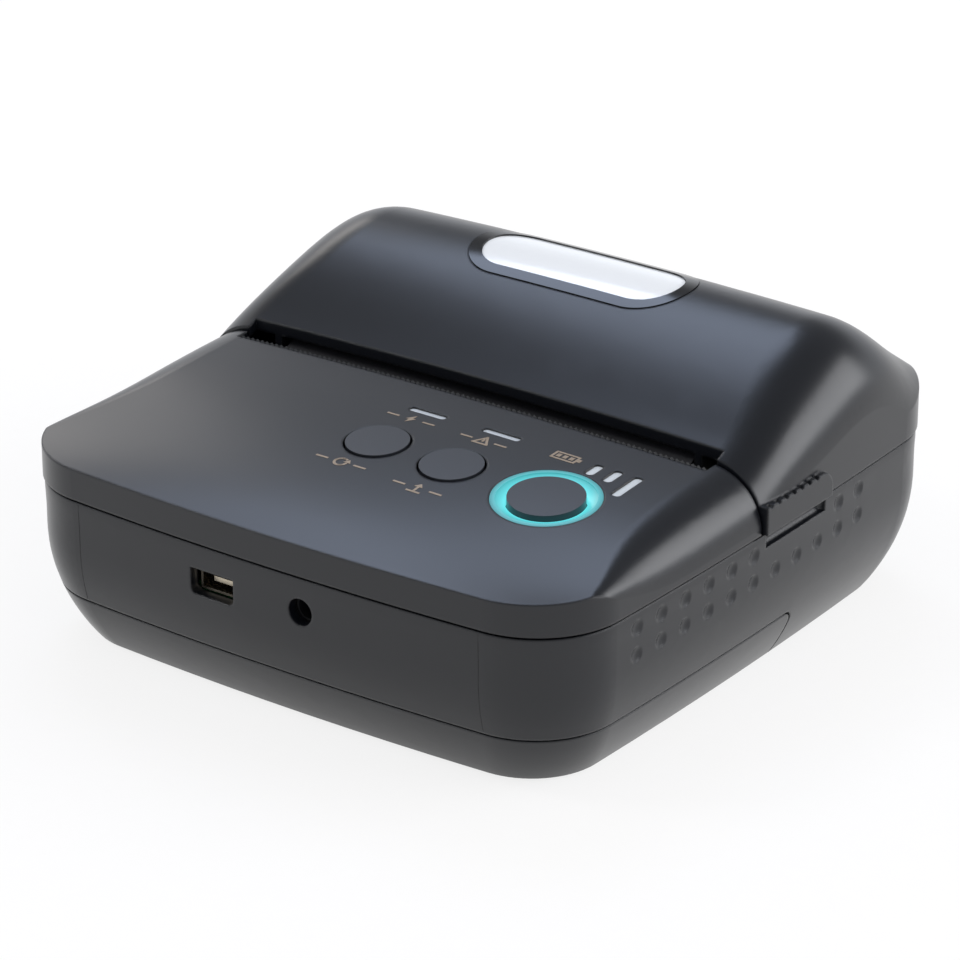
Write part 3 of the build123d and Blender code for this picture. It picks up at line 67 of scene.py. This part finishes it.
def new_surface(name):
    """An empty material, its node tree and the position on the object that its patterns follow."""
    material = bpy.data.materials.new(name)
    material.use_nodes = True
    tree = material.node_tree
    tree.nodes.clear()
    return material, tree, add(tree, "ShaderNodeTexCoord").outputs["Object"]


def moulded(name, colour, rough, grain_mm=SKIN_GRAIN_MM, depth_mm=SKIN_DEPTH_MM, uneven=0.01,
            edge_mm=0.0, **inputs):
    """Moulded plastic or rubber: its tool's fine grain, and a gloss that changes slowly along the
    flow. Real grain is finer than a dot of the picture, so it is drawn a few times as coarse."""
    material, tree, spot = new_surface(name)
    flow = add(tree, "ShaderNodeTexNoise", {"Scale": 1 / (FLOW_MM * MM), "Detail": 1.0},
               {"Vector": spot})
    gloss = add(tree, "ShaderNodeMapRange", {"To Min": rough - uneven, "To Max": rough + uneven},
                {"Value": flow.outputs["Fac"]})
    grain = add(tree, "ShaderNodeTexNoise", {"Scale": 1 / (grain_mm * MM), "Detail": 2.0},
                {"Vector": spot})
    skin = add(tree, "ShaderNodeBump", {"Strength": 1.0, "Distance": depth_mm * MM},
               {"Height": grain.outputs["Fac"]})
    if edge_mm:
        rounded = add(tree, "ShaderNodeBevel", {"Radius": edge_mm * MM}, samples=EDGE_SAMPLES)
        tree.links.new(rounded.outputs["Normal"], skin.inputs["Normal"])
    main = add(tree, "ShaderNodeBsdfPrincipled", {"Base Color": shade(colour), **inputs},
               {"Roughness": gloss.outputs["Result"], "Normal": skin.outputs["Normal"]})
    add(tree, "ShaderNodeOutputMaterial", links={"Surface": main.outputs["BSDF"]})
    return material


def paint(material, *names):
    """Gives CAD nodes their material."""
    for name in names:
        nodes[name].data.materials.clear()
        nodes[name].data.materials.append(material)


satin_abs = moulded("satin_abs", CASING_COLOUR, rough=0.28, edge_mm=EDGE_MM, IOR=ABS_IOR)
paint(satin_abs, *CASING)

# Witness lines: faint upright lines on the front wall, one near each corner, where slides of the
# tool met. They are thin strips a hair proud of the wall, darker and duller than the casing's ABS:
# painted shade for the shade that falls in the lines' fine grooves, so they read as thin dark
# lines. Each is laid in short steps, to follow the curve of the wall.
WITNESS_X = (-38.8, 38.8)
WITNESS_Z = (9.6, 26.3)
WITNESS_WIDTH = 0.12
WITNESS_PROUD = 0.02
WITNESS_STEPS = 12
BARREL_SHIFT = 1.5
FOOT_STAND = 0.6
OUTSIDE_MM = 80


def place(x, y, z):
    """A point in metres, from millimetres from the casing's middle and its underside. The hinge
    barrels behind shift the middle of the whole printer, and its feet lift the casing."""
    return Vector((x * MM, (y - BARREL_SHIFT) * MM, (z + FOOT_STAND) * MM))


def finished(name, mesh, material):
    """Makes a drafted mesh an object of one material."""
    data = bpy.data.meshes.new(name)
    mesh.to_mesh(data)
    mesh.free()
    data.materials.append(material)
    piece = bpy.data.objects.new(name, data)
    bpy.context.scene.collection.objects.link(piece)
    return piece


def laid(name, shapes, node, start, way, thick_mm, material):
    """Thin flat shapes laid on a CAD node of the housing. Each corner goes from its start along a
    way until it meets the node. They are lifted by half their thickness, since the node bulges a
    little between the corners."""
    mesh = bmesh.new()
    for shape in shapes:
        corners = []
        for corner in shape:
            _, spot, _, _ = nodes[node].ray_cast(start(*corner), way)
            corners.append(mesh.verts.new(spot - way * thick_mm / 2 * MM))
        mesh.faces.new(corners)
    bmesh.ops.recalc_face_normals(mesh, faces=mesh.faces[:])
    risen = bmesh.ops.extrude_face_region(mesh, geom=mesh.faces[:])["geom"]
    tops = [v for v in risen if isinstance(v, bmesh.types.BMVert)]
    bmesh.ops.translate(mesh, vec=-way * thick_mm * MM, verts=tops)
    bmesh.ops.recalc_face_normals(mesh, faces=mesh.faces[:])
    piece = finished(name, mesh, material)
    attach(piece, "housing")


witness_heights = [WITNESS_Z[0] + (WITNESS_Z[1] - WITNESS_Z[0]) * i / WITNESS_STEPS
                   for i in range(WITNESS_STEPS + 1)]
witness_quads = [
    [(x, low), (x + WITNESS_WIDTH, low), (x + WITNESS_WIDTH, high), (x, high)]
    for x in WITNESS_X for low, high in zip(witness_heights, witness_heights[1:])]
# The strips' dark, dull colour is painted shade, standing for the shade in the witness lines'
# grooves.
laid("witness_lines", witness_quads, "base_housing", lambda x, z: place(x, -OUTSIDE_MM, z),
     Vector((0, 1, 0)), WITNESS_PROUD, moulded("witness_painted_shade", "#0a0b0d", rough=0.5))

# Window in the paper cover: a clear lens in a black frame, both held from inside by their flanges.
# The frame is ABS from a polished tool, so it shines. The lens is moulded acrylic, as bright as
# glass, and shows the white roll below it, a little clouded.
polished_abs = moulded("polished_abs", "#08080a", rough=0.12, depth_mm=0.0002, uneven=0.005,
                       IOR=ABS_IOR)
paint(polished_abs, "window_rim")
polished_acrylic = moulded(
    "polished_acrylic", "#fbfcfc", rough=0.14, depth_mm=0.0001, uneven=0.02, IOR=1.49,
    **{"Transmission Weight": 0.12, "Coat Weight": 0.5, "Coat Roughness": 0.06})
paint(polished_acrylic, "window_lens")

# Keys: three round caps on stems over their switches, held under the front cover by their flanges.
# Moulded ABS with a finer and duller grain than the casing, so they stay dark where it shines.
fine_matte_abs = moulded("fine_matte_abs", "#222429", rough=0.34, grain_mm=0.25, IOR=ABS_IOR)
paint(fine_matte_abs, "mode_key", "feed_key", "power_key")

# Light guides: the ring round the power key, the two indicator slits and the three battery bars,
# moulded in frosted polycarbonate and pushed in over small lamps. The slits and bars glow softly
# and a little unevenly, and the ring is brightest at its inner edge, next to its lamps.
RING_CENTRE = (31.3, -27.4)
RING_RADII_MM = (6.4, 8.6)
RING_OUTER_SHARE = 0.2
LAMP_CLOUD_MM = 2.5
LAMP_UNEVEN = 0.2


def from_axis(tree, spot, point, across):
    """How far a spot is from the axis through a point. Across is 1 on the two ways that count."""
    offset = add(tree, "ShaderNodeVectorMath", {1: point}, {0: spot}, operation="SUBTRACT")
    flat = add(tree, "ShaderNodeVectorMath", {1: across}, {0: offset.outputs["Vector"]},
               operation="MULTIPLY")
    far = add(tree, "ShaderNodeVectorMath", links={0: flat.outputs["Vector"]}, operation="LENGTH")
    return far.outputs["Value"]


def frosted(name, colour, glow, power, fading=False):
    """Frosted polycarbonate with lamps behind it: clouded at the lamps' pitch, or fading outwards
    from the ring's inner edge."""
    material, tree, spot = new_surface(name)
    if fading:
        inner, outer = (radius * MM for radius in RING_RADII_MM)
        source = from_axis(tree, spot, place(*RING_CENTRE, 0), (1, 1, 0))
        spread = {"From Min": inner, "From Max": outer,
                  "To Min": power, "To Max": power * RING_OUTER_SHARE}
    else:
        cloud = add(tree, "ShaderNodeTexNoise", {"Scale": 1 / (LAMP_CLOUD_MM * MM), "Detail": 1.0},
                    {"Vector": spot})
        source = cloud.outputs["Fac"]
        spread = {"To Min": power * (1 - LAMP_UNEVEN), "To Max": power * (1 + LAMP_UNEVEN)}
    strength = add(tree, "ShaderNodeMapRange", spread, {"Value": source})
    main = add(tree, "ShaderNodeBsdfPrincipled", {
        "Base Color": shade(colour), "Roughness": 0.32, "IOR": 1.58, "Emission Color": shade(glow)},
        {"Emission Strength": strength.outputs["Result"]})
    add(tree, "ShaderNodeOutputMaterial", links={"Surface": main.outputs["BSDF"]})
    return material


paint(frosted("ring_polycarbonate", "#176d72", "#66e0e6", power=1.02, fading=True), "power_ring")
paint(frosted("slit_polycarbonate", "#b4b9be", "#e8eef2", power=0.03), "indicator_windows")
paint(frosted("bar_polycarbonate", "#b4b9bd", "#f4f8fa", power=0.12), "level_windows")

# Signs on the front cover: one for each key and light, pad-printed in copper ink, which shows warm
# and half matte on the black. Plain pictograms, each drawn in millimetres about its own middle:
# a bolt, a warning triangle, a turning arrow, a sheet with an arrow and a battery.
SIGN_LINE = 0.42
SIGN_DASH = 1.9
INK_THICKNESS = 0.03
ARC_STEPS = 14


def strip(points, width=SIGN_LINE):
    """The outline of a bent line of even width, as quads."""
    quads = []
    for (x0, y0), (x1, y1) in zip(points, points[1:]):
        along = Vector((x1 - x0, y1 - y0)).normalized() * width / 2
        side = Vector((-along.y, along.x))
        a, b = Vector((x0, y0)) - along, Vector((x1, y1)) + along
        quads.append([a - side, b - side, b + side, a + side])
    return quads


def arc(radius, start, end):
    """Points along a part of a circle, between two angles in degrees."""
    turns = [radians(start + (end - start) * i / ARC_STEPS) for i in range(ARC_STEPS + 1)]
    return [(radius * cos(t), radius * sin(t)) for t in turns]


def flanked(shapes, reach):
    """A sign with a short dash on each side, out to a reach."""
    left = strip([(-reach, 0), (-reach + SIGN_DASH, 0)])
    right = strip([(reach - SIGN_DASH, 0), (reach, 0)])
    return shapes + left + right


bolt = [[(0.35, 1.3), (-0.85, -0.2), (-0.1, -0.2), (0.3, 0.2)],
        [(-0.35, -1.3), (0.85, 0.2), (0.1, 0.2), (-0.3, -0.2)]]
warning = strip([(-1.3, -1.05), (1.3, -1.05), (0, 1.2), (-1.3, -1.05)])
warning += strip([(0, -0.2), (0, 0.3)])
cycle = strip(arc(1.05, 60, 350)) + [[(0.4, 0.1), (1.75, 0.1), (1.1, 1.1)]]
sheet = strip([(-1.1, -1.2), (1.1, -1.2)]) + strip([(0, -0.75), (0, 0.5)])
sheet += [[(-0.8, 0.3), (0.8, 0.3), (0, 1.3)]]
battery = strip([(-2.3, -1.0), (1.9, -1.0), (1.9, 1.0), (-2.3, 1.0), (-2.3, -1.0)])
battery += [[(2.1, -0.45), (2.7, -0.45), (2.7, 0.45), (2.1, 0.45)]]
battery += [[(x, -0.5), (x + 0.75, -0.5), (x + 0.75, 0.5), (x, 0.5)] for x in (-1.8, -0.6, 0.6)]
SIGNS = {
    "charge_sign": (flanked(bolt, reach=4.4), -1.9, -17.5),
    "fault_sign": (flanked(warning, reach=4.2), 12.3, -17.6),
    "mode_sign": (flanked(cycle, reach=4.6), -2.4, -34.9),
    "feed_sign": (flanked(sheet, reach=4.4), 12.9, -35.6),
    "level_sign": (battery, 26.4, -15.1),
}
copper_ink = moulded("copper_ink", "#93826e", rough=0.45, grain_mm=0.2, Metallic=0.35)
for sign, (shapes, sign_x, sign_y) in SIGNS.items():
    moved = [[(x + sign_x, y + sign_y) for x, y in shape] for shape in shapes]
    laid(sign, moved, "front_cover", lambda x, y: place(x, y, OUTSIDE_MM), Vector((0, 0, -1)),
         INK_THICKNESS, copper_ink)

# Tear bar, paper bay, paper sensor, cover switch and the battery's terminal block: black ABS
# mouldings inside the casing. They are duller than it, so the paper exit reads as a dark line.
dull_black_abs = moulded("dull_black_abs", "#141517", rough=0.52, grain_mm=0.5)
paint(dull_black_abs, "tear_bar", "paper_bay", "paper_sensor", "cover_switch", "battery_contacts")

# Feet: four discs of soft rubber, moulded and pressed into pockets in the underside.
# They are dead matte, with a coarser skin than the plastics.
soft_rubber = moulded("soft_rubber", "#1b1b1b", rough=0.8, grain_mm=0.5, depth_mm=0.01)
paint(soft_rubber, "feet_front", "feet_rear")

# Data inlet: a shell folded from tin-plated steel, set on the main board, with a tongue that
# carries five gilt contacts. The tin is softly bright behind the hole in the front wall. The
# contacts are stamped strips, bent down at the front, where the plug comes in.
USB_X = -11.0
TONGUE_TOP_Z = 20.6
CONTACT_COUNT = 5
CONTACT_PITCH = 0.65
CONTACT_WIDTH = 0.34
CONTACT_LIFT = 0.02
CONTACT_TOP = 0.08
CONTACT_Y = (-53.45, -53.1, -47.0)
CONTACT_DROP = (-0.25, 0.0, 0.0)


def sheet_metal(name, colour, rough, grain_mm=(0.4, 0.4, 0.4), depth_mm=0.001):
    """Bare or plated metal with the fine lines of rolling or drawing. Real ones are a few
    hundredths of a millimetre apart, so they are drawn coarse enough to show."""
    material, tree, spot = new_surface(name)
    along = add(tree, "ShaderNodeMapping", {"Scale": [1 / (g * MM) for g in grain_mm]},
                {"Vector": spot})
    lines = add(tree, "ShaderNodeTexNoise", {"Scale": 1.0, "Detail": 2.0},
                {"Vector": along.outputs["Vector"]})
    gloss = add(tree, "ShaderNodeMapRange", {"To Min": rough - 0.07, "To Max": rough + 0.07},
                {"Value": lines.outputs["Fac"]})
    bump = add(tree, "ShaderNodeBump", {"Strength": 0.6, "Distance": depth_mm * MM},
               {"Height": lines.outputs["Fac"]})
    main = add(tree, "ShaderNodeBsdfPrincipled", {"Base Color": shade(colour), "Metallic": 1.0},
               {"Roughness": gloss.outputs["Result"], "Normal": bump.outputs["Normal"]})
    add(tree, "ShaderNodeOutputMaterial", links={"Surface": main.outputs["BSDF"]})
    return material


paint(sheet_metal("tin_plated_steel", "#c2b8a6", rough=0.26), "usb_socket")
contacts = bmesh.new()
for index in range(CONTACT_COUNT):
    x = USB_X + (index - (CONTACT_COUNT - 1) / 2) * CONTACT_PITCH
    left, right = x - CONTACT_WIDTH / 2, x + CONTACT_WIDTH / 2
    rings = []
    for y, drop in zip(CONTACT_Y, CONTACT_DROP):
        low, high = TONGUE_TOP_Z + drop + CONTACT_LIFT, TONGUE_TOP_Z + drop + CONTACT_TOP
        corners = ((left, low), (right, low), (right, high), (left, high))
        rings.append([contacts.verts.new(place(side, y, height)) for side, height in corners])
    for near, far in zip(rings, rings[1:]):
        for i in range(4):
            contacts.faces.new([near[i], near[(i + 1) % 4], far[(i + 1) % 4], far[i]])
    contacts.faces.new(rings[0])
    contacts.faces.new(rings[-1])
bmesh.ops.recalc_face_normals(contacts, faces=contacts.faces[:])
gilt_contact = sheet_metal("gilt_contact", "#d9b066", rough=0.22)
usb_contacts = finished("usb_contacts", contacts, gilt_contact)
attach(usb_contacts, "housing")

# Power inlet: a moulded block of black nylon with a bore and a centre pin, set on the main board.
# It is dull, so the round hole in the front wall stays dark.
paint(moulded("black_nylon", "#101113", rough=0.55, grain_mm=0.5), "dc_socket")

# Paper: white thermal paper, wound tight on a card core, that lies loose in the paper bay.
# Its top coat is smooth, and its ends show the edges of the turns.
ROLL_AXIS = place(0, 28.0, 25.3)
TURN_MM = 0.24
TURN_DEPTH_MM = 0.03


def wound(name, pale, dark, rough):
    """Wound sheet: rings round the roll's axis. A real turn of 0.06 mm is too fine to show, so it
    is drawn four times as thick."""
    material, tree, spot = new_surface(name)
    turns = add(tree, "ShaderNodeTexNoise", {"Scale": 1 / (TURN_MM * MM), "Detail": 1.0},
                {"W": from_axis(tree, spot, ROLL_AXIS, (0, 1, 1))}, noise_dimensions="1D")
    tone = add(tree, "ShaderNodeValToRGB", links={"Fac": turns.outputs["Fac"]})
    tone.color_ramp.elements[0].color = shade(dark)
    tone.color_ramp.elements[1].color = shade(pale)
    edges = add(tree, "ShaderNodeBump", {"Strength": 0.5, "Distance": TURN_DEPTH_MM * MM},
                {"Height": turns.outputs["Fac"]})
    main = add(tree, "ShaderNodeBsdfPrincipled", {"Roughness": rough},
               {"Base Color": tone.outputs["Color"], "Normal": edges.outputs["Normal"]})
    add(tree, "ShaderNodeOutputMaterial", links={"Surface": main.outputs["BSDF"]})
    return material


paint(wound("thermal_paper", "#f4f4f1", "#d6d6d2", rough=0.7), "paper_roll")
paint(wound("rolled_card", "#a88d6c", "#8a7050", rough=0.85), "roll_core")

# Platen: a rubber roller on a steel shaft, in bushings under the paper cover, with a gear at one
# end. The rubber is ground, dark and dull, and the gears and bushings are moulded acetal, milky and
# smooth. The shafts and pins are ground steel, with fine lines along them.
ground_rubber = moulded("ground_rubber", "#26262a", rough=0.62, grain_mm=0.3, depth_mm=0.008)
paint(ground_rubber, "platen_rubber")
natural_acetal = moulded(
    "natural_acetal", "#dcd8c8", rough=0.4, grain_mm=0.5,
    **{"Subsurface Weight": 0.1, "Subsurface Radius": (0.001, 0.001, 0.0008),
       "Subsurface Scale": 0.5})
paint(natural_acetal, "platen_gear", "platen_bushings", "reduction_gear")
ground_steel = sheet_metal("ground_steel", "#a9abae", rough=0.28, grain_mm=(4.0, 0.3, 0.3))
paint(ground_steel, "platen_shaft", "head_shaft", "motor_shaft", "hinge_pins", "gear_pin")

# Print head: a glazed ceramic strip on an aluminium plate, pressed to the platen by three springs.
# The glaze is smooth and pale, the plate has the long lines of extrusion, and the springs are wound
# from drawn wire, a little duller.
paint(moulded("glazed_ceramic", "#cfc9bb", rough=0.14, depth_mm=0.0003, IOR=1.6), "thermal_head")
extruded_aluminium = sheet_metal("extruded_aluminium", "#bfc2c6", rough=0.34,
                                 grain_mm=(6.0, 0.4, 0.4))
paint(extruded_aluminium, "heat_sink")
paint(sheet_metal("spring_wire", "#9a9b9e", rough=0.3), "head_springs")

# Mechanism frame: steel sheet, folded, zinc plated and screwed to the housing's deck.
# The plating makes it pale grey and faintly cloudy.
zinc_plated_sheet = sheet_metal("zinc_plated_sheet", "#b4b7ba", rough=0.38,
                                grain_mm=(3.0, 0.6, 3.0))
paint(zinc_plated_sheet, "mech_frame")

# Motor and its pinion: a steel can with a baked dark coat, centred in the frame by its boss, and a
# pinion cut from brass bar. The coat is smooth and half glossy. The brass keeps the cutter's lines.
baked_enamel = moulded("baked_enamel_can", "#2d2d30", rough=0.36, grain_mm=0.6, depth_mm=0.004,
                       Metallic=0.4)
paint(baked_enamel, "motor")
paint(sheet_metal("cut_brass", "#b8924c", rough=0.28, grain_mm=(2.0, 0.3, 0.3)), "motor_pinion")

# Circuit boards: glass-epoxy sheet under green solder mask, screwed to posts inside the casing.
# The copper runs show through the mask as paler lines.
RUN_PITCH_MM = 1.9
RUN_RISE_MM = 0.02
BRICK_WIDTH = 0.5


def solder_mask():
    """Green mask over copper runs, as the joints of a brick pattern."""
    material, tree, spot = new_surface("green_solder_mask")
    runs = add(tree, "ShaderNodeTexBrick", {
        "Scale": BRICK_WIDTH / (RUN_PITCH_MM * MM), "Mortar Size": 0.06, "Color1": shade("#1a4a2a"),
        "Color2": shade("#1d5230"), "Mortar": shade("#2c6b3f")}, {"Vector": spot})
    bump = add(tree, "ShaderNodeBump", {"Strength": 0.4, "Distance": RUN_RISE_MM * MM},
               {"Height": runs.outputs["Fac"]})
    main = add(tree, "ShaderNodeBsdfPrincipled", {"Roughness": 0.34},
               {"Base Color": runs.outputs["Color"], "Normal": bump.outputs["Normal"]})
    add(tree, "ShaderNodeOutputMaterial", links={"Surface": main.outputs["BSDF"]})
    return material


paint(solder_mask(), "main_board", "key_board")

# Parts on the boards: chips in black epoxy, push switches in grey nylon and lamps in clear epoxy,
# moulded and soldered down. The chips are dull, the switches half matte and the lamps glossy.
paint(moulded("epoxy_chip", "#161618", rough=0.6, grain_mm=0.25), "main_chips")
paint(moulded("grey_nylon_switch", "#8c8c8c", rough=0.5), "key_switches")
paint(moulded("clear_epoxy_lamp", "#e6e4d8", rough=0.2), "indicator_leds")

# Battery: a flat pack of cells in a blue-black shrink sleeve, held in its compartment by the door.
# The sleeve is thin and glossy, with a wrinkle every few millimetres.
shrink_sleeve = moulded("shrink_sleeve", "#1b2438", rough=0.28, grain_mm=3.0, depth_mm=0.03,
                        uneven=0.04)
paint(shrink_sleeve, "battery_pack")

# Screws: small steel pan heads, nickel plated, that hold the covers, the frame and the boards.
# The plating is bright and a little warm.
paint(sheet_metal("nickel_plated_screw", "#b9b6ae", rough=0.3),
      "case_screws", "frame_screws", "main_board_screws", "key_board_screws")

# Camera: it stands where the photograph was taken from, off the front right corner and above.
AZIMUTH = radians(36.04)
ELEVATION = radians(23.84)
DISTANCE_MM = 690.23
AIM_Z = 25
FOCAL_PIXELS = 4270.58
SHIFT_PIXELS = (-5.93, -23.91)
IMAGE_PIXELS = 960
SENSOR_MM = 36.0
NEAREST_M = 0.01
away = Vector((sin(AZIMUTH) * cos(ELEVATION), -cos(AZIMUTH) * cos(ELEVATION), sin(ELEVATION)))
camera = bpy.data.objects.new("camera", bpy.data.cameras.new("camera"))
camera.location = place(0, 0, AIM_Z) + away * DISTANCE_MM * MM
camera.rotation_euler = (-away).to_track_quat("-Z", "Y").to_euler()
camera.data.sensor_width = SENSOR_MM
camera.data.lens = FOCAL_PIXELS / IMAGE_PIXELS * SENSOR_MM
camera.data.shift_x = SHIFT_PIXELS[0] / IMAGE_PIXELS
camera.data.shift_y = SHIFT_PIXELS[1] / IMAGE_PIXELS
camera.data.clip_start = NEAREST_M
bpy.context.scene.collection.objects.link(camera)
bpy.context.scene.camera = camera

# Floor: a white table top, painted matte, that runs out of sight. To the eye and in reflections it
# mostly glows by itself, so it stays white, and it keeps the printer's soft shadow.
FLOOR_HALF_M = 4.0
FLOOR_MOTTLE_MM = 4.0
FLOOR_GLOW = 0.82
white_top, tree, spot = new_surface("white_table_top")
ray = add(tree, "ShaderNodeLightPath")
seen = add(tree, "ShaderNodeMath",
           links={0: ray.outputs["Is Camera Ray"], 1: ray.outputs["Is Glossy Ray"]},
           operation="ADD")
seen = add(tree, "ShaderNodeMath",
           links={0: seen.outputs["Value"], 1: ray.outputs["Is Transmission Ray"]},
           operation="ADD", use_clamp=True)
share = add(tree, "ShaderNodeMath", {1: FLOOR_GLOW}, {0: seen.outputs["Value"]},
            operation="MULTIPLY")
mottle = add(tree, "ShaderNodeTexNoise", {"Scale": 1 / (FLOOR_MOTTLE_MM * MM), "Detail": 2.0},
             {"Vector": spot})
tone = add(tree, "ShaderNodeValToRGB", links={"Fac": mottle.outputs["Fac"]})
tone.color_ramp.elements[0].color = shade("#faf6f4")
tone.color_ramp.elements[1].color = shade("#fffdfc")
matte = add(tree, "ShaderNodeBsdfPrincipled", {"Roughness": 0.8, "Specular IOR Level": 0.2},
            {"Base Color": tone.outputs["Color"]})
glow = add(tree, "ShaderNodeEmission", {"Color": shade("#ffffff"), "Strength": 1.0})
mix = add(tree, "ShaderNodeMixShader", links={
    "Fac": share.outputs["Value"], 1: matte.outputs["BSDF"], 2: glow.outputs["Emission"]})
add(tree, "ShaderNodeOutputMaterial", links={"Surface": mix.outputs["Shader"]})
floor_mesh = bmesh.new()
bmesh.ops.create_grid(floor_mesh, x_segments=2, y_segments=2, size=FLOOR_HALF_M)
floor = finished("floor", floor_mesh, white_top)


# Studio light: a broad panel like a window at the back right, a cool one overhead, a small one at
# the back left and a small bright one at the front left that picks out the moulded edges.
def panel(name, way, distance, size, radiance, colour="#ffffff"):
    """A flat soft lamp that faces the printer, of an even brightness. Lengths are in metres."""
    lamp = bpy.data.lights.new(name, "AREA")
    lamp.shape = "RECTANGLE"
    lamp.size, lamp.size_y = size
    lamp.energy = radiance * pi * size[0] * size[1]
    lamp.color = shade(colour)[:3]
    holder = bpy.data.objects.new(name, lamp)
    holder.location = Vector(way).normalized() * distance
    holder.rotation_euler = (-holder.location).to_track_quat("-Z", "Y").to_euler()
    bpy.context.scene.collection.objects.link(holder)


panel("window_light", way=(0.8, 0.5, 0.42), distance=1.3, size=(1.2, 0.7), radiance=4.0,
      colour="#fbfcff")
panel("overhead_light", way=(-0.4, 0.42, 0.81), distance=1.2, size=(0.52, 0.52), radiance=3.9,
      colour="#cddcf8")
panel("left_light", way=(-0.74, 0.5, 0.45), distance=1.3, size=(0.34, 0.3), radiance=2.4,
      colour="#fffaf6")
panel("edge_light", way=(-0.55, -0.4, 0.7), distance=1.2, size=(0.3, 0.22), radiance=9.0)

# Surroundings: a white room. Polished surfaces show it paler near the horizon than overhead, and
# the camera and clear pieces show it plain white.
HORIZON = 1.0
HORIZON_HEIGHT = 0.22
OVERHEAD = 0.33
OVERHEAD_HEIGHT = 0.5
ROOM_LIGHT = 0.68
world = bpy.data.worlds.new("studio")
world.use_nodes = True
bpy.context.scene.world = world
tree = world.node_tree
tree.nodes.clear()
ray = add(tree, "ShaderNodeLightPath")
way = add(tree, "ShaderNodeTexCoord").outputs["Generated"]
height = add(tree, "ShaderNodeSeparateXYZ", links={0: way}).outputs["Z"]
fade = add(tree, "ShaderNodeMapRange", {
    "From Min": HORIZON_HEIGHT, "From Max": OVERHEAD_HEIGHT, "To Min": HORIZON, "To Max": OVERHEAD},
    {"Value": height})
room = add(tree, "ShaderNodeBackground", {"Color": shade("#f8faff"), "Strength": ROOM_LIGHT})
mirrored = add(tree, "ShaderNodeBackground", {"Color": shade("#f4f7fd")},
               {"Strength": fade.outputs["Result"]})
white = add(tree, "ShaderNodeBackground", {"Color": shade("#ffffff"), "Strength": 1.0})
clear = add(tree, "ShaderNodeMath",
            links={0: ray.outputs["Is Camera Ray"], 1: ray.outputs["Is Transmission Ray"]},
            operation="ADD", use_clamp=True)
polished = add(tree, "ShaderNodeMixShader", links={
    "Fac": ray.outputs["Is Glossy Ray"], 1: room.outputs["Background"],
    2: mirrored.outputs["Background"]})
mix = add(tree, "ShaderNodeMixShader", links={
    "Fac": clear.outputs["Value"], 1: polished.outputs["Shader"], 2: white.outputs["Background"]})
add(tree, "ShaderNodeOutputWorld", links={"Surface": mix.outputs["Shader"]})

# The picture shows colours as they are written.
bpy.context.scene.view_settings.view_transform = "Standard"
